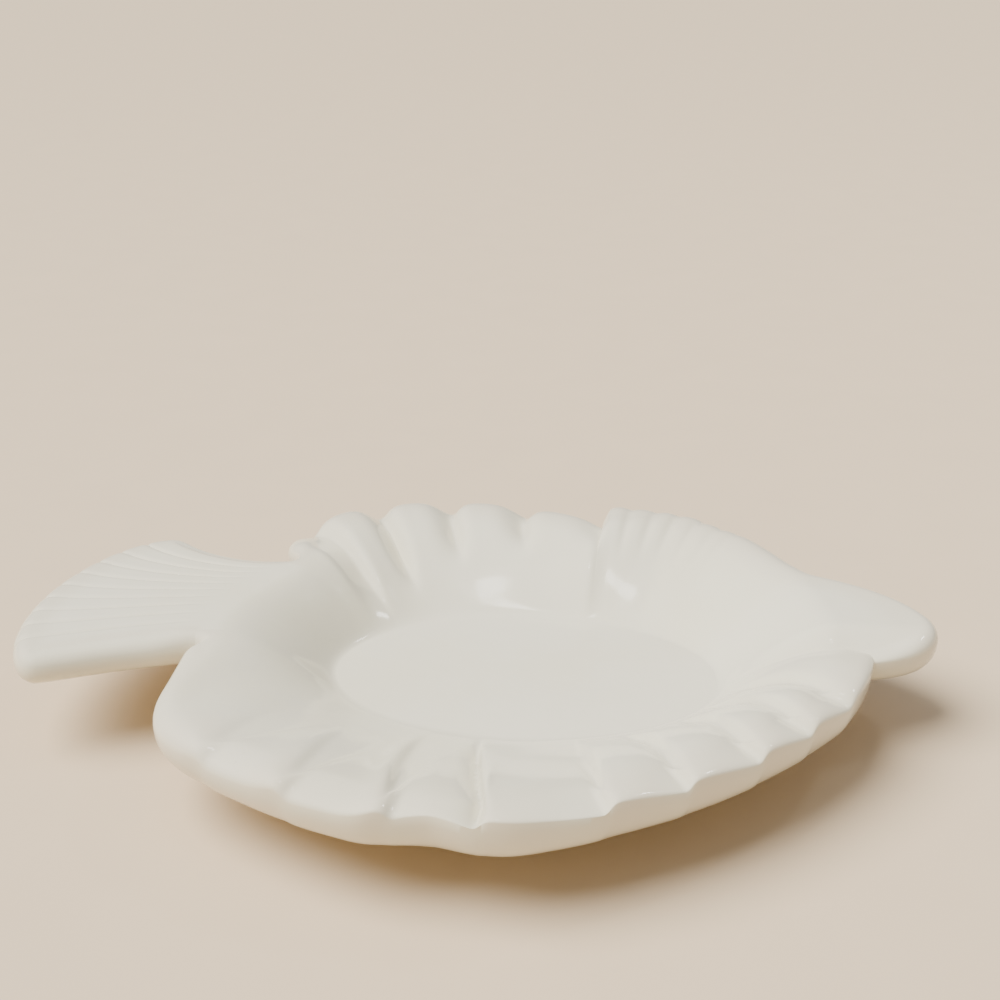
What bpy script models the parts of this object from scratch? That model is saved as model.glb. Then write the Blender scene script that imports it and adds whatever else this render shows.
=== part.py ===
"""Fish-shaped trinket dish of glazed stoneware.

A shallow oval well has fluted fins for its rim, a smooth head that runs out into a snout at one end, and a
fan tail at the other. The dish is modelled as the clay sections that meet at its visible lines: the floor,
the foot ring, the dorsal fin, the belly fin, the head and the tail fin.

Lengths are in metres and angles in degrees. +X runs from tail to snout, +Y from belly to back, +Z up.
Angles are measured about the middle of the well, from +X towards +Y.
"""

import math
from dataclasses import dataclass

import bmesh
import bpy
from mathutils import Vector

# Rim, its lip, and the gap where sections meet
RIM_HEIGHT = 0.0200
LIP_RUN = 0.0046
LIP_SQUARENESS = 2.5
JOINT_GAP = 0.0003

# Well and foot
WELL_LENGTH = 0.0695
WELL_WIDTH = 0.0430
FLOOR_HEIGHT = 0.0080
FLOOR_THICKNESS = 0.0050
FLOOR_EDGE_ROUND = 0.0006
FOOT_INSET = 0.0015
FOOT_WIDTH = 0.0045
FOOT_EDGE_ROUND = 0.0009

# Spokes run from the floor's edge and are spaced by angle where they cross this circle; at the brow they lean
SPOKE_CIRCLE_RADIUS = 0.0580
SPOKE_LEAN = 5.0
SPOKE_LEAN_ANGLE = 72.0
SPOKE_LEAN_SPAN = 25.0

# Lines between the belly fin, the head, the dorsal fin and the tail
NOTCH_ANGLE = -5.5
GILL_ANGLE = 75.5
NECK_ANGLE = 155.0
NECK_SPAN = 35.0

# Rim from the middle of the well, as pairs of an angle and a share of this reach
BODY_REACH = 0.0602
DORSAL_OUTLINE = (
    (75.5, 0.838), (87.0, 0.865), (102.0, 0.933), (119.0, 1.012), (133.0, 1.063), (140.0, 1.043),
    (147.0, 0.967), (155.0, 0.885),
)
BELLY_OUTLINE = (
    (190.0, 0.993), (202.5, 1.073), (213.0, 1.140), (224.0, 1.107), (238.0, 1.065), (250.5, 1.040),
    (260.0, 0.997), (269.5, 1.008), (288.0, 0.943), (302.5, 0.923), (317.5, 0.930), (335.0, 0.977),
    (354.5, 1.027),
)
HEAD_OUTLINE = (
    (-5.5, 1.005), (-2.5, 1.123), (0.5, 1.220), (2.5, 1.234), (8.0, 1.185), (15.5, 1.077), (21.0, 1.003),
    (30.0, 0.980), (45.0, 0.992), (60.0, 0.995), (75.5, 0.950),
)

# Grooves between lobes: angle, share of the flute depth and share of the scallop depth
FLUTE_DEPTH = 0.0032
SCALLOP_DEPTH = 0.0022
DORSAL_GROOVES = (
    (75.5, 0.44, 0.55), (93.8, 0.53, 0.90), (110.5, 0.63, 1.10), (127.6, 0.75, 1.18), (139.8, 0.50, 0.90),
    (155.0, 0.0, 0.0),
)
BELLY_GROOVES = (
    (190.0, 0.0, 0.0), (204.0, 0.16, 0.23), (220.0, 0.28, 0.36), (236.0, 0.50, 0.55), (253.0, 0.88, 0.90),
    (266.3, 1.00, 1.00), (285.6, 0.97, 1.00), (300.7, 0.90, 0.90), (315.8, 0.84, 0.82), (328.2, 0.78, 0.82),
    (339.0, 0.72, 0.72), (354.5, 0.25, 0.18),
)

# Where each lobe is highest and where it stands out furthest, as shares of its width; 1 is a plain wall
DORSAL_CROWNS = (0.72, 0.74, 0.76, 0.76, 1.0)
DORSAL_CORNERS = (0.53, 0.34, 0.44, 0.55, 1.0)
BELLY_CROWNS = (1.0, 0.66, 0.68, 0.70, 0.48, 0.32, 0.32, 0.32, 0.32, 0.34, 0.42)
BELLY_CORNERS = (1.0, 0.80, 0.82, 0.85, 0.48, 0.15, 0.15, 0.15, 0.16, 0.18, 0.42)
CROWN_ROUNDNESS = 2.6
CORNER_ROUNDNESS = 1.8

# Fins; the flute spans give where a flute starts and where it has its full depth, as shares of the wall, for
# the first and the last angle of the fin
DORSAL_THICKNESS = 0.0080
DORSAL_STEEPNESS = 1.75
DORSAL_GILL_DROP = 0.0006
DORSAL_GILL_SPAN = 25.0
DORSAL_FLUTE_SPANS = ((0.40, 0.95), (0.06, 0.55))
BELLY_DROP = 0.0010
BELLY_THICKNESS = 0.0090
BELLY_STEEPNESS = 1.45
BELLY_DROP_SPAN = 40.0
BELLY_FLUTE_SPANS = ((0.30, 0.90), (0.03, 0.55))
BELLY_FLUTE_CHANGE = 60.0
BELLY_CORNER_ROUND = 0.0020

# Head
HEAD_THICKNESS = 0.0082
HEAD_STEEPNESS = 1.6
CHEEK_SHARE = 0.98
CHEEK_ANGLES = (14.0, 30.0)
GILL_ROUND = 0.0034
NOTCH_ROLL = 0.0028
NOTCH_SPAN = 7.0
NOTCH_FLUTE_SPAN = (0.10, 0.90)
BROW_FLUTES = 6
BROW_END_ANGLE = 44.5
BROW_FLUTE_DEPTH = 0.0005
BROW_FLUTE_SPAN = (0.45, 0.95)

# Tail, and the crooks where the fins draw in to it
TAIL_THICKNESS = 0.0062
TAIL_STEEPNESS = 1.6
CROOK_LIP_RUN = 0.0024
CROOK_SPAN = 13.0
CROOK_WALL_SPAN = 17.0
NECK_SWEEP = 0.15
FAN_CENTRE_X = -0.0430
FAN_CENTRE_Y = -0.0016
FAN_DORSAL_RADIUS = 0.0472
FAN_BELLY_RADIUS = 0.0491
FAN_AXIS_ANGLE = 169.25
FAN_HALF_ANGLE = 33.75
FAN_DORSAL_DROP = 0.0030
FAN_BELLY_DROP = 0.0012
TAIL_RAYS = 10
TAIL_GROOVE_DEPTH = 0.0003
TAIL_SCALLOP_DEPTH = 0.0004
TAIL_SIDE_RUN = 0.0140

# Shape of the wall between floor and rim
WALL_FILLET = 0.08
ROW_BIAS = 1.25

# Mesh density
LOBE_STEPS = 8
WALL_ROWS = 9
UNDER_ROWS = 5
LIP_STEPS = 8
HEAD_STEP_ANGLE = 2.0
GILL_STEPS = 4
RAY_STEPS = 4
FAN_ROWS = 8
FAN_EDGE_TURNS = (32.0, 58.0, 78.0)
SIDE_STEPS = 4
OVAL_STEPS = 96

GLAZE_COLOUR = (0.74, 0.72, 0.65, 1.0)
GLAZE_ROUGHNESS = 0.15
CLAY_COLOUR = (0.62, 0.54, 0.44, 1.0)
CLAY_ROUGHNESS = 0.85
SMOOTH_ANGLE = 35.0


def mix(start, end, share):
    """Value that lies a share of the way from start to end."""
    return start + (end - start) * share


def hold(share):
    """Share held between 0 and 1."""
    return min(max(share, 0.0), 1.0)


def smooth(share):
    """Ease from 0 to 1, level at both ends."""
    share = hold(share)
    return share * share * (3.0 - 2.0 * share)


def quarter_round(distance, radius):
    """Share by which a rounded corner falls back: 1 at the corner and 0 from radius on."""
    return 1.0 - math.sqrt(1.0 - hold(1.0 - distance / radius) ** 2)


def pillow(share):
    """Rounded crown: 0 at either side and 1 in the middle."""
    return 4.0 * share * (1.0 - share)


def rise(share, steepness):
    """How high the wall stands between floor and rim: level at the floor, then steep, level at the rim."""
    fillet = math.hypot(1.0, WALL_FILLET) - WALL_FILLET
    return 1.0 - (1.0 - (math.hypot(share, WALL_FILLET) - WALL_FILLET) / fillet) ** steepness


def polar(angle, radius):
    """Point in plan at an angle and radius about the middle of the well."""
    turn = math.radians(angle)
    return Vector((radius * math.cos(turn), radius * math.sin(turn), 0.0))


def oval_radius(angle, length, width):
    """Distance from the middle of an oval to its edge at an angle."""
    turn = math.radians(angle)
    return length * width / 2 / math.hypot(width * math.cos(turn), length * math.sin(turn))


def reach_at(outline, angle):
    """Reach of the rim at an angle, on a smooth curve through the points of an outline."""
    last = len(outline) - 1
    number = sum(spot <= angle for spot, _ in outline[1:-1])

    def slope(place):
        """Slope of the curve at one of its points."""
        before, after = outline[max(place - 1, 0)], outline[min(place + 1, last)]
        return (after[1] - before[1]) / (after[0] - before[0])

    (low, first), (high, second) = outline[number], outline[number + 1]
    share = hold((angle - low) / (high - low))
    leave = share * (1.0 - share) ** 2 * slope(number)
    arrive = share ** 2 * (share - 1.0) * slope(number + 1)
    return BODY_REACH * (mix(first, second, smooth(share)) + (leave + arrive) * (high - low))


class Spoke:
    """Line in plan along which the wall is cut, from just clear of the floor out to the rim.

    On the belly side spokes point away from the middle of the well. On the dorsal side they stand more
    upright, so that they cross the floor's edge at evenly spread places.
    """

    def __init__(self, angle):
        turn = math.radians(angle)
        radial = math.atan2(WELL_LENGTH * math.sin(turn), WELL_WIDTH * math.cos(turn))
        lead = math.atan2(math.sin(radial - turn), math.cos(radial - turn))
        lean = math.radians(SPOKE_LEAN) * math.exp(-((angle - SPOKE_LEAN_ANGLE) / SPOKE_LEAN_SPAN) ** 2)
        place = turn + lead * (1.0 - math.sin(turn)) / 2 - lean
        edge = Vector((WELL_LENGTH / 2 * math.cos(place), WELL_WIDTH / 2 * math.sin(place), 0.0))
        self.course = (polar(angle, SPOKE_CIRCLE_RADIUS) - edge).normalized()
        self.side = Vector((-self.course.y, self.course.x, 0.0))
        self.start = edge + self.course * JOINT_GAP

    def run_to(self, reach):
        """Distance along the spoke to where it is as far from the middle of the well as reach."""
        toward = self.start.dot(self.course)
        return math.sqrt(toward ** 2 + reach ** 2 - self.start.length_squared) - toward

    def point(self, run, height, shift=0.0):
        """Point at a distance along the spoke, moved sideways by shift towards greater angles."""
        return self.start + self.course * run + self.side * shift + Vector((0.0, 0.0, height))


@dataclass
class Cut:
    """One cut through the wall along a spoke.

    Attributes:
        angle: angle of the spoke.
        reach: reach of the lip.
        wall_reach: reach of a lip that would stand where the wall comes up to its full height.
        height: height of the rim's crest.
        thickness: thickness of the lip below the crest.
        steepness: how quickly the wall rises from the floor.
        flute: how far the rim lies below its crest.
        flute_span: shares of the wall where the flute starts and where it has its full depth.
        lip_run: how far the lip stands out past the crest.
    """

    angle: float
    reach: float
    wall_reach: float
    height: float
    thickness: float
    steepness: float
    flute: float
    flute_span: tuple
    lip_run: float = LIP_RUN

    def section(self, shift):
        """Closed outline of the cut: up the inside, round the lip and back underneath.

        Args:
            shift: sideways shift that leaves the joint gap.
        """
        spoke = Spoke(self.angle)
        wall_run = spoke.run_to(self.wall_reach) - LIP_RUN
        crest_run = spoke.run_to(self.reach) - LIP_RUN
        low = self.height - self.thickness
        half = (self.thickness - self.flute) / 2
        start, full = self.flute_span
        points = []
        for row in range(WALL_ROWS + 1):
            run = crest_run * (row / WALL_ROWS) ** ROW_BIAS
            share = min(run / wall_run, 1.0)
            sunk = self.flute * smooth((share - start) / (full - start))
            level = mix(FLOOR_HEIGHT, self.height, rise(share, self.steepness)) - sunk
            points.append(spoke.point(run, level, shift))
        for step in range(1, LIP_STEPS):
            turn = math.pi * step / LIP_STEPS
            out = math.sin(turn) ** (2 / LIP_SQUARENESS)
            lift = math.copysign(abs(math.cos(turn)) ** (2 / LIP_SQUARENESS), math.cos(turn))
            points.append(spoke.point(crest_run + self.lip_run * out, low + half + half * lift, shift))
        for row in range(UNDER_ROWS, -1, -1):
            run = crest_run * (row / UNDER_ROWS) ** ROW_BIAS
            share = min(run / wall_run, 1.0)
            level = mix(FLOOR_HEIGHT - FLOOR_THICKNESS, low, rise(share, self.steepness))
            points.append(spoke.point(run, level, shift))
        return points


def sections(cuts):
    """Outlines of a row of cuts, of which the first and last are drawn in by half the joint gap."""
    shifts = [0.0] * len(cuts)
    shifts[0], shifts[-1] = JOINT_GAP / 2, -JOINT_GAP / 2
    return [cut.section(shift) for cut, shift in zip(cuts, shifts)]


def hollow(across, top, roundness):
    """Share of the groove depth at a place across a lobe: 0 at the lobe's top and 1 in its grooves."""
    if top >= 1.0:
        return 1.0
    return abs(2.0 * across ** (math.log(0.5) / math.log(top)) - 1.0) ** roundness


def lobe_places(crown):
    """Places across a lobe, close together where the lobe is steep."""
    shares = [step / LOBE_STEPS for step in range(LOBE_STEPS)]
    skew = 1.0 if crown >= 1.0 else math.log(crown) / math.log(0.5)
    return [share ** skew for share in shares]


def fin_spots(grooves, crowns, corners):
    """Angles across a fin, each with the depth of its flute and of its scallop.

    Args:
        grooves: the fin's grooves.
        crowns: where each lobe is highest.
        corners: where each lobe stands out furthest.
    """
    spots = []
    for low, high, crown, corner in zip(grooves, grooves[1:], crowns, corners):
        for across in lobe_places(crown):
            angle, flute, scallop = [mix(first, second, across) for first, second in zip(low, high)]
            flute *= FLUTE_DEPTH * hollow(across, crown, CROWN_ROUNDNESS)
            scallop *= SCALLOP_DEPTH * hollow(across, corner, CORNER_ROUNDNESS)
            spots.append((angle, flute, scallop))
    angle, flute, scallop = grooves[-1]
    return spots + [(angle, flute * FLUTE_DEPTH, scallop * SCALLOP_DEPTH)]


def draw_in(cut, away, place):
    """Let a cut of a fin pass over into the tail's neck.

    Args:
        cut: the cut, which is changed.
        away: its angle from the crook.
        place: side of the tail, -1 for the dorsal one and 1 for the belly.
    """
    ease = smooth(away / CROOK_SPAN)
    neck_reach = min(neck_radius(place) + LIP_RUN, cut.reach)
    cut.wall_reach = mix(neck_reach, cut.reach, hold(away / CROOK_WALL_SPAN))
    cut.height = mix(RIM_HEIGHT, cut.height, ease)
    cut.thickness = mix(TAIL_THICKNESS, cut.thickness, ease)
    cut.steepness = mix(TAIL_STEEPNESS, cut.steepness, ease)
    cut.lip_run = mix(CROOK_LIP_RUN, LIP_RUN, ease)


def dorsal_cut(angle, flute, scallop):
    """Cut through the dorsal fin, which falls a little towards the gill line."""
    along = (angle - GILL_ANGLE) / (NECK_ANGLE - GILL_ANGLE)
    span = tuple(mix(first, second, along) for first, second in zip(*DORSAL_FLUTE_SPANS))
    height = RIM_HEIGHT - DORSAL_GILL_DROP * (1.0 - smooth((angle - GILL_ANGLE) / DORSAL_GILL_SPAN))
    reach = reach_at(DORSAL_OUTLINE, angle) - scallop
    cut = Cut(angle, reach, reach, height, DORSAL_THICKNESS, DORSAL_STEEPNESS, flute, span)
    draw_in(cut, NECK_ANGLE - angle, -1.0)
    return cut


def dorsal_cuts():
    """Cuts through the dorsal fin from the gill line to the tail."""
    return [dorsal_cut(*spot) for spot in fin_spots(DORSAL_GROOVES, DORSAL_CROWNS, DORSAL_CORNERS)]


def belly_cuts():
    """Cuts through the belly fin from the tail to the notch, where its corner is rounded."""
    start, end = NECK_ANGLE + NECK_SPAN, NOTCH_ANGLE + 360.0
    cuts = []
    for angle, flute, scallop in fin_spots(BELLY_GROOVES, BELLY_CROWNS, BELLY_CORNERS):
        along = hold((angle - start) / BELLY_FLUTE_CHANGE)
        span = tuple(mix(first, second, along) for first, second in zip(*BELLY_FLUTE_SPANS))
        height = RIM_HEIGHT - BELLY_DROP * smooth((angle - start) / BELLY_DROP_SPAN)
        from_end = math.radians(end - angle) * SPOKE_CIRCLE_RADIUS
        corner = BELLY_CORNER_ROUND * quarter_round(from_end, BELLY_CORNER_ROUND)
        reach = reach_at(BELLY_OUTLINE, angle) - scallop - corner
        cut = Cut(angle, reach, reach, height, BELLY_THICKNESS, BELLY_STEEPNESS, flute, span)
        draw_in(cut, angle - start, 1.0)
        cuts.append(cut)
    return cuts


def head_angles():
    """Angles across the head, close together where its corner at the gill line is rounded."""
    corner = math.degrees(GILL_ROUND / SPOKE_CIRCLE_RADIUS)
    count = math.ceil((GILL_ANGLE - corner - NOTCH_ANGLE) / HEAD_STEP_ANGLE)
    plain = [mix(NOTCH_ANGLE, GILL_ANGLE - corner, number / count) for number in range(count + 1)]
    turns = [math.pi / 2 * step / GILL_STEPS for step in range(1, GILL_STEPS + 1)]
    return plain + [GILL_ANGLE - corner * (1.0 - math.sin(turn)) for turn in turns]


def head_cut(angle, fin):
    """Cut through the head, whose snout is a level shelf past the cheek.

    Args:
        angle: angle of the cut.
        fin: the dorsal fin's cut at the gill line, to which the head's corner falls back.
    """
    corner = quarter_round(math.radians(GILL_ANGLE - angle) * SPOKE_CIRCLE_RADIUS, GILL_ROUND)
    brow = max((angle - BROW_END_ANGLE) / (GILL_ANGLE - BROW_END_ANGLE), 0.0)
    flute, span = BROW_FLUTE_DEPTH * pillow(brow * BROW_FLUTES % 1.0), BROW_FLUTE_SPAN
    if angle < NOTCH_ANGLE + NOTCH_SPAN:
        flute, span = NOTCH_ROLL * (1.0 - smooth((angle - NOTCH_ANGLE) / NOTCH_SPAN)), NOTCH_FLUTE_SPAN
    reach = mix(reach_at(HEAD_OUTLINE, angle), fin.reach, corner)
    cheek = smooth((angle - CHEEK_ANGLES[0]) / (CHEEK_ANGLES[1] - CHEEK_ANGLES[0]))
    return Cut(
        angle,
        reach,
        wall_reach=mix(min(CHEEK_SHARE * BODY_REACH, reach), reach, cheek),
        height=mix(RIM_HEIGHT, fin.height, corner),
        thickness=mix(HEAD_THICKNESS, fin.thickness, corner),
        steepness=mix(HEAD_STEEPNESS, fin.steepness, corner),
        flute=mix(flute, fin.flute, corner),
        flute_span=tuple(mix(first, second, corner) for first, second in zip(span, fin.flute_span)),
    )


def head_cuts():
    """Cuts through the head, from the notch below the snout to the gill line."""
    fin = dorsal_cuts()[0]
    return [head_cut(angle, fin) for angle in head_angles()]


def tail_angle(place):
    """Angle where a ray of the tail crosses the wall; place is -1 at the dorsal side and 1 at the belly."""
    return NECK_ANGLE + NECK_SPAN * (place + 1.0) / 2


def tail_shift(place):
    """Sideways shift that draws the tail's two sides in by half the joint gap."""
    return JOINT_GAP / 2 * ((place == -1.0) - (place == 1.0))


def neck_radius(place):
    """Distance of the neck from the middle of the well, which joins the crests of the two fins."""
    dorsal = reach_at(DORSAL_OUTLINE, NECK_ANGLE) - LIP_RUN
    belly = reach_at(BELLY_OUTLINE, NECK_ANGLE + NECK_SPAN) - LIP_RUN
    return mix(dorsal, belly, smooth((place + 1.0) / 2))


def between_rays(place):
    """Share of the groove depth at a place across the tail: 0 on a ray's crown and 1 between two rays."""
    return 1.0 - pillow((place + 1.0) / 2 * TAIL_RAYS % 1.0)


def fan_ray(place):
    """Direction of one ray at the fan's edge."""
    return polar(FAN_AXIS_ANGLE + FAN_HALF_ANGLE * place, 1.0)


def fan_point(place, share):
    """Point of the tail's plan, from the neck at share 0 to the start of its rounded edge at share 1."""
    spoke = Spoke(tail_angle(place))
    neck = spoke.point(spoke.run_to(neck_radius(place)), 0.0, tail_shift(place))
    corner = (FAN_DORSAL_DROP if place < 0.0 else FAN_BELLY_DROP) * place ** 6
    radius = mix(FAN_DORSAL_RADIUS, FAN_BELLY_RADIUS, (place + 1.0) / 2) - corner
    radius -= TAIL_THICKNESS / 2 + TAIL_SCALLOP_DEPTH * between_rays(place)
    edge = Vector((FAN_CENTRE_X, FAN_CENTRE_Y, 0.0)) + fan_ray(place) * radius
    length = (edge - neck).length
    leave = (share - 2 * share ** 2 + share ** 3) * length
    arrive = (share ** 3 - share ** 2) * length
    away = Vector((-1.0, -NECK_SWEEP * place ** 2, 0.0)).normalized()
    return mix(neck, edge, smooth(share)) + away * leave + fan_ray(place) * arrive


def tail_loop(points, upper, lower, bulge):
    """Closed section across the tail: its upper points, one side, its lower points and the other side.

    Args:
        points: places in plan from the dorsal side to the belly side.
        upper: height of the upper face at each place.
        lower: height of the lower face.
        bulge: how far the sides round out, as a share of half the thickness.
    """
    def side(end, neighbour, top):
        """Points down one rounded side."""
        out = (end - neighbour).normalized()
        half = (top - lower) / 2
        around = []
        for step in range(1, SIDE_STEPS):
            turn = math.pi * step / SIDE_STEPS
            level = lower + half + half * math.cos(turn)
            around.append(end + out * half * bulge * math.sin(turn) + Vector((0.0, 0.0, level)))
        return around

    top_points = [Vector((point.x, point.y, height)) for point, height in zip(points, upper)]
    low_points = [Vector((point.x, point.y, lower)) for point in points]
    belly_side = side(points[-1], points[-2], upper[-1])
    dorsal_side = side(points[0], points[1], upper[0])
    return top_points + belly_side + low_points[::-1] + dorsal_side[::-1]


def tail_loops(places):
    """Sections across the tail from the floor's edge, up the wall, along the neck and out over the fan."""
    half = TAIL_THICKNESS / 2
    loops = []
    for row in range(WALL_ROWS + 1):
        share = (row / WALL_ROWS) ** ROW_BIAS
        spokes = [Spoke(tail_angle(place)) for place in places]
        points = [spoke.point(spoke.run_to(neck_radius(place)) * share, 0.0, tail_shift(place))
                  for spoke, place in zip(spokes, places)]
        lift = rise(share, TAIL_STEEPNESS)
        upper = [mix(FLOOR_HEIGHT, RIM_HEIGHT, lift)] * len(places)
        lower = mix(FLOOR_HEIGHT - FLOOR_THICKNESS, RIM_HEIGHT - TAIL_THICKNESS, lift)
        loops.append(tail_loop(points, upper, lower, 0.0))
    for row in range(1, FAN_ROWS + 1):
        share = row / FAN_ROWS
        points = [fan_point(place, share) for place in places]
        upper = [RIM_HEIGHT - TAIL_GROOVE_DEPTH * between_rays(place) * smooth(share) for place in places]
        run = (points[0] - fan_point(places[0], 0.0)).length
        loops.append(tail_loop(points, upper, RIM_HEIGHT - TAIL_THICKNESS, smooth(run / TAIL_SIDE_RUN)))
    for turn in FAN_EDGE_TURNS:
        out = half * math.sin(math.radians(turn))
        thin = math.cos(math.radians(turn))
        points = [fan_point(place, 1.0) + fan_ray(place) * out for place in places]
        crown = RIM_HEIGHT - half + half * thin
        upper = [crown - TAIL_GROOVE_DEPTH * between_rays(place) * thin for place in places]
        loops.append(tail_loop(points, upper, RIM_HEIGHT - half - half * thin, 1.0))
    return loops


def join_loops(shape, loops, closed):
    """Put loops of points into a mesh and join each to the next with faces; return the loops' vertices."""
    rings = [[shape.verts.new(point) for point in loop] for loop in loops]
    pairs = list(zip(rings, rings[1:]))
    if closed:
        pairs.append((rings[-1], rings[0]))
    for ring, following in pairs:
        for number in range(len(ring)):
            after = (number + 1) % len(ring)
            shape.faces.new((ring[number], ring[after], following[after], following[number]))
    return rings


def fill_fan(shape, corner, chain):
    """Fill the space between a corner and a chain of vertices with triangles."""
    for first, second in zip(chain, chain[1:]):
        shape.faces.new((corner, first, second))


def fill_tail_end(shape, ring, count):
    """Fill an end loop of the tail with faces from its upper points to the lower points below them."""
    sides = SIDE_STEPS - 1
    upper = ring[:count]
    lower = ring[count + sides:2 * count + sides][::-1]
    belly_side = ring[count:count + sides]
    dorsal_side = ring[2 * count + sides:]
    for number in range(1, count - 2):
        shape.faces.new((upper[number], upper[number + 1], lower[number + 1], lower[number]))
    fill_fan(shape, upper[1], [lower[1], lower[0], *dorsal_side, upper[0]])
    fill_fan(shape, upper[-2], [upper[-1], *belly_side, lower[-1], lower[-2]])


def material(name, colour, roughness):
    """Plain ceramic surface of one colour."""
    made = bpy.data.materials.new(name)
    made.use_nodes = True
    shader = made.node_tree.nodes["Principled BSDF"]
    shader.inputs["Base Color"].default_value = colour
    shader.inputs["Roughness"].default_value = roughness
    shader.inputs["Metallic"].default_value = 0.0
    return made


def glazed(name):
    """Surface of a glazed section."""
    return material(f"{name}_glaze", GLAZE_COLOUR, GLAZE_ROUGHNESS)


def add_object(name, shape, surface, parent):
    """Turn a finished mesh into a named object with smooth shading on its round faces."""
    bmesh.ops.recalc_face_normals(shape, faces=shape.faces)
    mesh = bpy.data.meshes.new(name)
    shape.to_mesh(mesh)
    shape.free()
    mesh.shade_smooth()
    mesh.set_sharp_from_angle(angle=math.radians(SMOOTH_ANGLE))
    mesh.materials.append(surface)
    made = bpy.data.objects.new(name, mesh)
    made.parent = parent
    bpy.context.collection.objects.link(made)
    return made


def add_wall(name, cuts, parent):
    """Wall lofted through its cuts, with a flat joint face at each end."""
    shape = bmesh.new()
    rings = join_loops(shape, sections(cuts), closed=False)
    shape.faces.new(rings[0])
    shape.faces.new(rings[-1])
    return add_object(name, shape, glazed(name), parent)


def add_tail(name, parent):
    """Tail fin lofted from the floor's edge to the edge of its fan."""
    count = TAIL_RAYS * RAY_STEPS + 1
    places = [mix(-1.0, 1.0, number / (count - 1)) for number in range(count)]
    shape = bmesh.new()
    rings = join_loops(shape, tail_loops(places), closed=False)
    fill_tail_end(shape, rings[0], count)
    fill_tail_end(shape, rings[-1], count)
    return add_object(name, shape, glazed(name), parent)


def add_floor(name, parent):
    """Oval floor slab with a softened upper edge."""
    shape = bmesh.new()
    bmesh.ops.create_circle(shape, cap_ends=True, segments=OVAL_STEPS, radius=0.5)
    bmesh.ops.scale(shape, vec=(WELL_LENGTH, WELL_WIDTH, 1.0), verts=shape.verts)
    bmesh.ops.translate(shape, vec=(0.0, 0.0, FLOOR_HEIGHT - FLOOR_THICKNESS), verts=shape.verts)
    lifted = bmesh.ops.extrude_face_region(shape, geom=shape.faces[:])["geom"]
    top = [part for part in lifted if isinstance(part, bmesh.types.BMVert)]
    bmesh.ops.translate(shape, vec=(0.0, 0.0, FLOOR_THICKNESS), verts=top)
    rim = [edge for edge in shape.edges if all(vert in top for vert in edge.verts)]
    bmesh.ops.bevel(shape, geom=rim, offset=FLOOR_EDGE_ROUND, segments=2, profile=0.5, affect="EDGES")
    return add_object(name, shape, glazed(name), parent)


def add_foot(name, parent):
    """Oval foot ring under the floor, with its two lower edges softened."""
    height = FLOOR_HEIGHT - FLOOR_THICKNESS - JOINT_GAP
    loops = []
    for number in range(OVAL_STEPS):
        angle = 360.0 * number / OVAL_STEPS
        outer = oval_radius(angle, WELL_LENGTH - 2 * FOOT_INSET, WELL_WIDTH - 2 * FOOT_INSET)
        inner = outer - FOOT_WIDTH
        profile = (
            (outer, height),
            (outer, FOOT_EDGE_ROUND),
            (outer - FOOT_EDGE_ROUND, 0.0),
            (inner + FOOT_EDGE_ROUND, 0.0),
            (inner, FOOT_EDGE_ROUND),
            (inner, height),
        )
        loops.append([polar(angle, radius) + Vector((0.0, 0.0, level)) for radius, level in profile])
    shape = bmesh.new()
    join_loops(shape, loops, closed=True)
    return add_object(name, shape, material(f"{name}_clay", CLAY_COLOUR, CLAY_ROUGHNESS), parent)


def centre_on_origin(carrier, pieces):
    """Move the carrier so that the dish stands on the origin, in the middle of its length and width."""
    corners = [vert.co for piece in pieces for vert in piece.data.vertices]
    low = [min(corner[axis] for corner in corners) for axis in range(3)]
    high = [max(corner[axis] for corner in corners) for axis in range(3)]
    carrier.location = (-(low[0] + high[0]) / 2, -(low[1] + high[1]) / 2, -low[2])


def build_dish():
    """Make the six sections of the dish and stand them on the origin."""
    for existing in list(bpy.data.objects):
        bpy.data.objects.remove(existing)
    carrier = bpy.data.objects.new("dish", None)
    bpy.context.collection.objects.link(carrier)
    pieces = [
        add_floor("well_floor", carrier),
        add_foot("foot_ring", carrier),
        add_wall("dorsal_fin", dorsal_cuts(), carrier),
        add_wall("belly_fin", belly_cuts(), carrier),
        add_wall("head", head_cuts(), carrier),
        add_tail("tail_fin", carrier),
    ]
    centre_on_origin(carrier, pieces)


build_dish()
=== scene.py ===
"""Fish-shaped trinket dish of glazed stoneware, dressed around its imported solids.

Each glazed section starts as a flat blank of clay, made with edit-mode operators, and is pressed into a mould
that gives every point of the blank its place in the dish. Lengths are in metres and angles in degrees.
+X runs from tail to snout, +Y from belly to back and +Z up. Angles are measured about the middle of the well.
"""

from __future__ import annotations

import logging
import math
from dataclasses import dataclass, field
from enum import Enum, IntEnum
from typing import Any, Callable, ClassVar, Optional, Union

import bmesh
import bpy
import numpy as np
from mathutils import Matrix, Vector

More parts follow.
